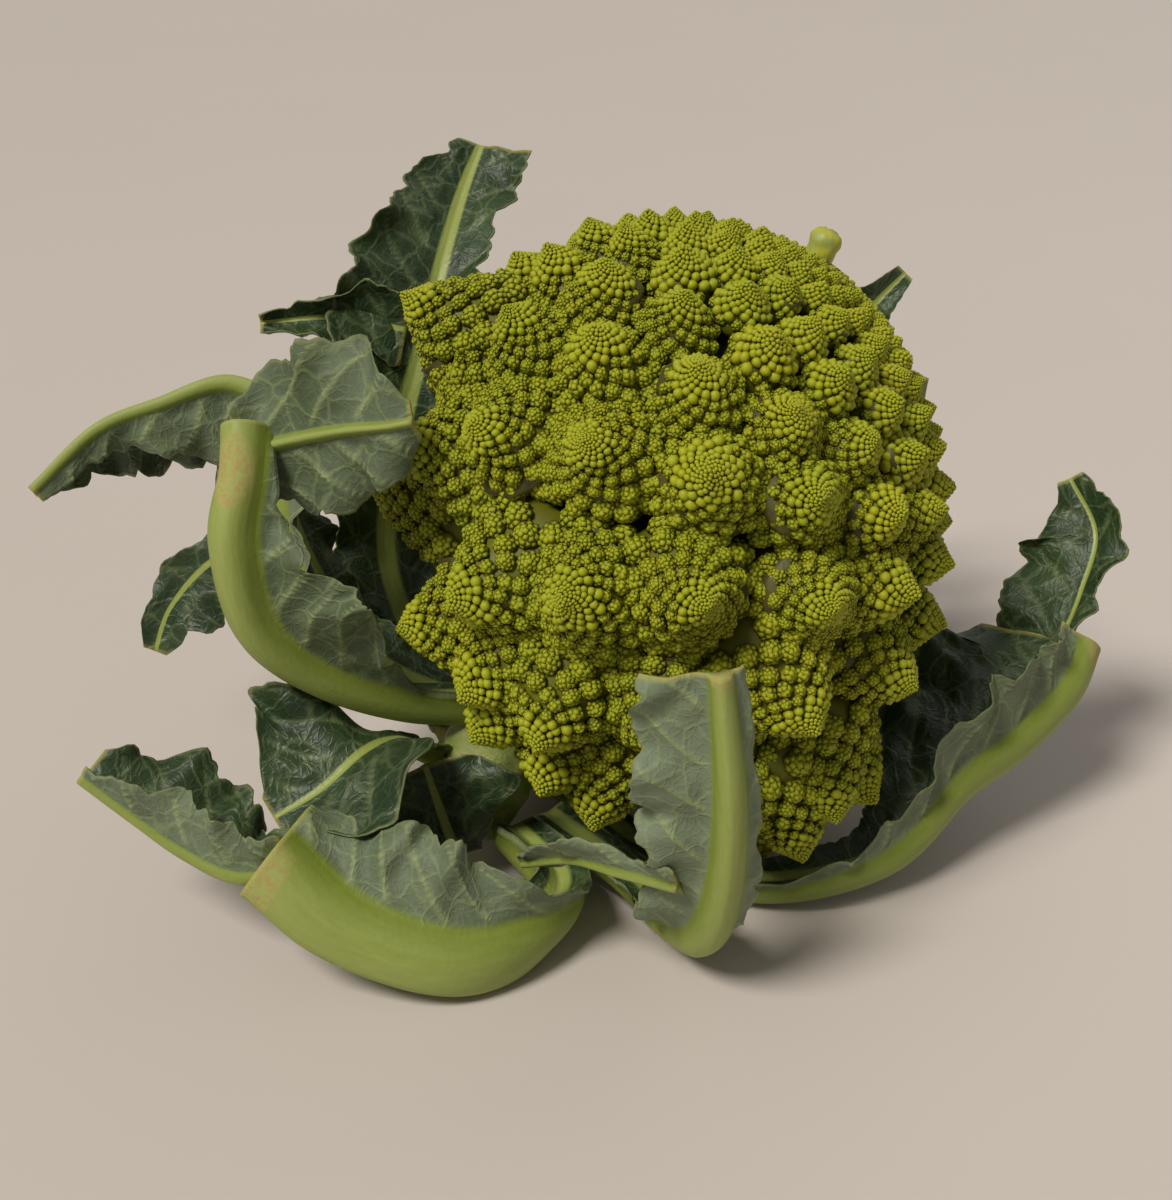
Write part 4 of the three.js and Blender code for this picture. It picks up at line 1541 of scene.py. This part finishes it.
def leaf_finish():
    """A leaf's two faces, its veins, rib, hem and dried cuts."""
    colours = bpy.context.scene.romanesco_colours
    material, tree, shader = new_material("leaf_faces")
    sheet = node(tree, "ShaderNodeUVMap", uv_map="Blade").outputs[0]
    place = node(tree, "ShaderNodeTexCoord").outputs["Object"]
    stray = node(tree, "ShaderNodeTexNoise", {"Vector": sheet, "Scale": 1.6, "Detail": 2.0})
    bent = node(
        tree,
        "ShaderNodeVectorMath",
        {0: stray.outputs["Color"], 1: (0.45, 0.45, 0.0), 2: sheet},
        operation="MULTIPLY_ADD",
    ).outputs[0]

    def net(scale, thick):
        made = node(
            tree,
            "ShaderNodeTexVoronoi",
            {"Vector": bent, "Scale": scale, "Randomness": 0.9},
            feature="DISTANCE_TO_EDGE",
        )
        return 1.0 - ramped(tree, made.outputs["Distance"], 0.0, thick)

    coarse_net, fine_net = net(1.25, 0.09), net(4.2, 0.13)
    under, rib, vein, hem = (mark(tree, name) for name in ("under", "rib", "vein", "hem"))
    crest, end = mark(tree, "crest"), mark(tree, "end")
    lines = (vein + coarse_net * 0.5 + fine_net * 0.16).clamped()
    patch = ramped(tree, grain(tree, place, 38, 4), 0.3, 0.72)
    upper = mixed(tree, patch, colours.upper, colours.upper_light)
    upper = mixed(tree, lines * 0.3, upper, colours.vein)
    cloud = ramped(tree, grain(tree, place, 55, 5, 0.65), 0.3, 0.75)
    # Bloom by patches and each leaf's share, which also paints shade on leaves that lie in shadow
    waxy_and_shade = (cloud * 0.45 + mark(tree, "waxy_and_shade") * 0.95 - 0.25).clamped()
    lower = mixed(tree, waxy_and_shade, colours.under, colours.bloom)
    pale_lines = (vein * 0.7 + coarse_net * 0.25 + fine_net * 0.08).clamped()
    lower = mixed(tree, pale_lines, lower, colours.vein)
    face = mixed(tree, ramped(tree, under, 0.3, 0.7), upper, lower)
    streaked = node(
        tree, "ShaderNodeVectorMath", {0: sheet, 1: (9.0, 0.8, 1.0)}, operation="MULTIPLY"
    )
    fibre = grain(tree, streaked.outputs[0], 1.4, 4, 0.6)
    pale = (crest * 0.7 + fibre * 0.6 - 0.25).clamped()
    rib_colour = mixed(tree, pale, colours.rib, colours.rib_pale)
    base = mixed(tree, ramped(tree, rib, 0.1, 0.8), face, rib_colour)
    base = mixed(tree, ramped(tree, hem, 0.55, 1.0) * 0.6, base, colours.hem)
    speckle = ramped(tree, grain(tree, place, 900, 4), 0.35, 0.65)
    cork = mixed(tree, speckle, colours.cut, colours.rib_pale)
    fill(tree, shader.inputs["Base Color"], mixed(tree, end, base, cork))
    rough = 0.43 + under * 0.17 - rib * 0.08 + end * 0.25
    fill(tree, shader.inputs["Roughness"], rough + cloud * 0.08)
    shader.inputs["Specular IOR Level"].default_value = 0.45
    height = (fine_net * 0.25 + coarse_net * 0.5) * (1.0 - rib) + fibre * 0.35
    height = height + grain(tree, place, 700, 3) * 0.3
    bumped(tree, shader, height, 0.45, 0.7)
    return material


def floor_finish():
    """A pale table top with a soft sheen."""
    colours = bpy.context.scene.romanesco_colours
    material, tree, shader = new_material("pale_floor")
    place = node(tree, "ShaderNodeTexCoord").outputs["Object"]
    patch = grain(tree, place, 3, 3)
    darker = [0.95 * c for c in colours.floor]
    fill(tree, shader.inputs["Base Color"], mixed(tree, patch, colours.floor, darker))
    shader.inputs["Roughness"].default_value = 0.42
    shader.inputs["Specular IOR Level"].default_value = 0.3
    return material


# ---- The stage ----

# The camera, in millimetres, and how far it looks down
TARGET_HEIGHT, CAMERA_DISTANCE = 65, 450
CAMERA_RISE = math.radians(27)
LENS, SENSOR = 51.9, 36


def soft_sun(name, toward, angle, strength, tint):
    """A wide soft light that shines from that side."""
    light = bpy.data.lights.new(name, "SUN")
    light.angle, light.energy, light.color = math.radians(angle), strength, tint
    made = bpy.data.objects.new(name, light)
    made.rotation_euler = (-Vector(toward)).to_track_quat("-Z", "Y").to_euler()
    bpy.context.scene.collection.objects.link(made)


class ROMANESCO_OT_stage(bpy.types.Operator):
    """Builds the floor, the soft lights and the camera"""

    bl_idname = "romanesco.stage"
    bl_label = "Stage"

    def execute(self, context):
        wide = 4.0
        floor = mesh_object(
            "floor", [(-wide, -wide, 0), (wide, -wide, 0), (wide, wide, 0), (-wide, wide, 0)],
            [(0, 1, 2, 3)],
        )
        floor.data.materials.append(floor_finish())
        target = Vector((0, 0, TARGET_HEIGHT)) * MM + SHIFT
        soft_sun("key", (-0.55, -0.5, 1.0), 20, 2.6, (1.0, 0.95, 0.88))
        soft_sun("back", (0.5, 0.8, 0.9), 50, 0.3, (1.0, 0.97, 0.94))
        world = bpy.data.worlds.new("soft_room")
        world.use_nodes = True
        background = world.node_tree.nodes["Background"]
        background.inputs["Color"].default_value = (1.0, 0.95, 0.9, 1)
        background.inputs["Strength"].default_value = 0.19
        context.scene.view_settings.view_transform = "Standard"
        context.scene.world = world
        camera = bpy.data.cameras.new("camera")
        camera.lens, camera.sensor_width = LENS, SENSOR
        camera.clip_start, camera.clip_end = 0.01, 20
        eye = bpy.data.objects.new("camera", camera)
        away = Vector((0, -math.cos(CAMERA_RISE), math.sin(CAMERA_RISE)))
        eye.location = target + away * CAMERA_DISTANCE * MM
        eye.rotation_euler = (target - eye.location).to_track_quat("-Z", "Y").to_euler()
        context.scene.collection.objects.link(eye)
        context.scene.camera = eye
        return {"FINISHED"}


class ROMANESCO_PT_panel(bpy.types.Panel):
    """Lists the head's pieces, sizes and colours"""

    bl_idname = "ROMANESCO_PT_panel"
    bl_label = "Romanesco Head"
    bl_space_type = "VIEW_3D"
    bl_region_type = "UI"
    bl_category = "Romanesco"

    def draw(self, context):
        for step in STEPS:
            self.layout.operator(step.bl_idname)
        for group_of in (context.scene.romanesco_sizes, context.scene.romanesco_colours):
            box = self.layout.box()
            for name in group_of.__annotations__:
                box.prop(group_of, name)


STEPS = (
    ROMANESCO_OT_stage,
    ROMANESCO_OT_florets,
    ROMANESCO_OT_branches,
    ROMANESCO_OT_broken_floret,
    ROMANESCO_OT_stalk,
    ROMANESCO_OT_leaves,
)
CLASSES = (RomanescoSizes, RomanescoColours, *STEPS, ROMANESCO_PT_panel)


def register():
    for each in CLASSES:
        bpy.utils.register_class(each)
    bpy.types.Scene.romanesco_sizes = PointerProperty(type=RomanescoSizes)
    bpy.types.Scene.romanesco_colours = PointerProperty(type=RomanescoColours)


def unregister():
    del bpy.types.Scene.romanesco_sizes
    del bpy.types.Scene.romanesco_colours
    for each in reversed(CLASSES):
        bpy.utils.unregister_class(each)


def main():
    register()
    for step in STEPS:
        kind, name = step.bl_idname.split(".")
        getattr(getattr(bpy.ops, kind), name)()


if __name__ == "__main__":
    main()
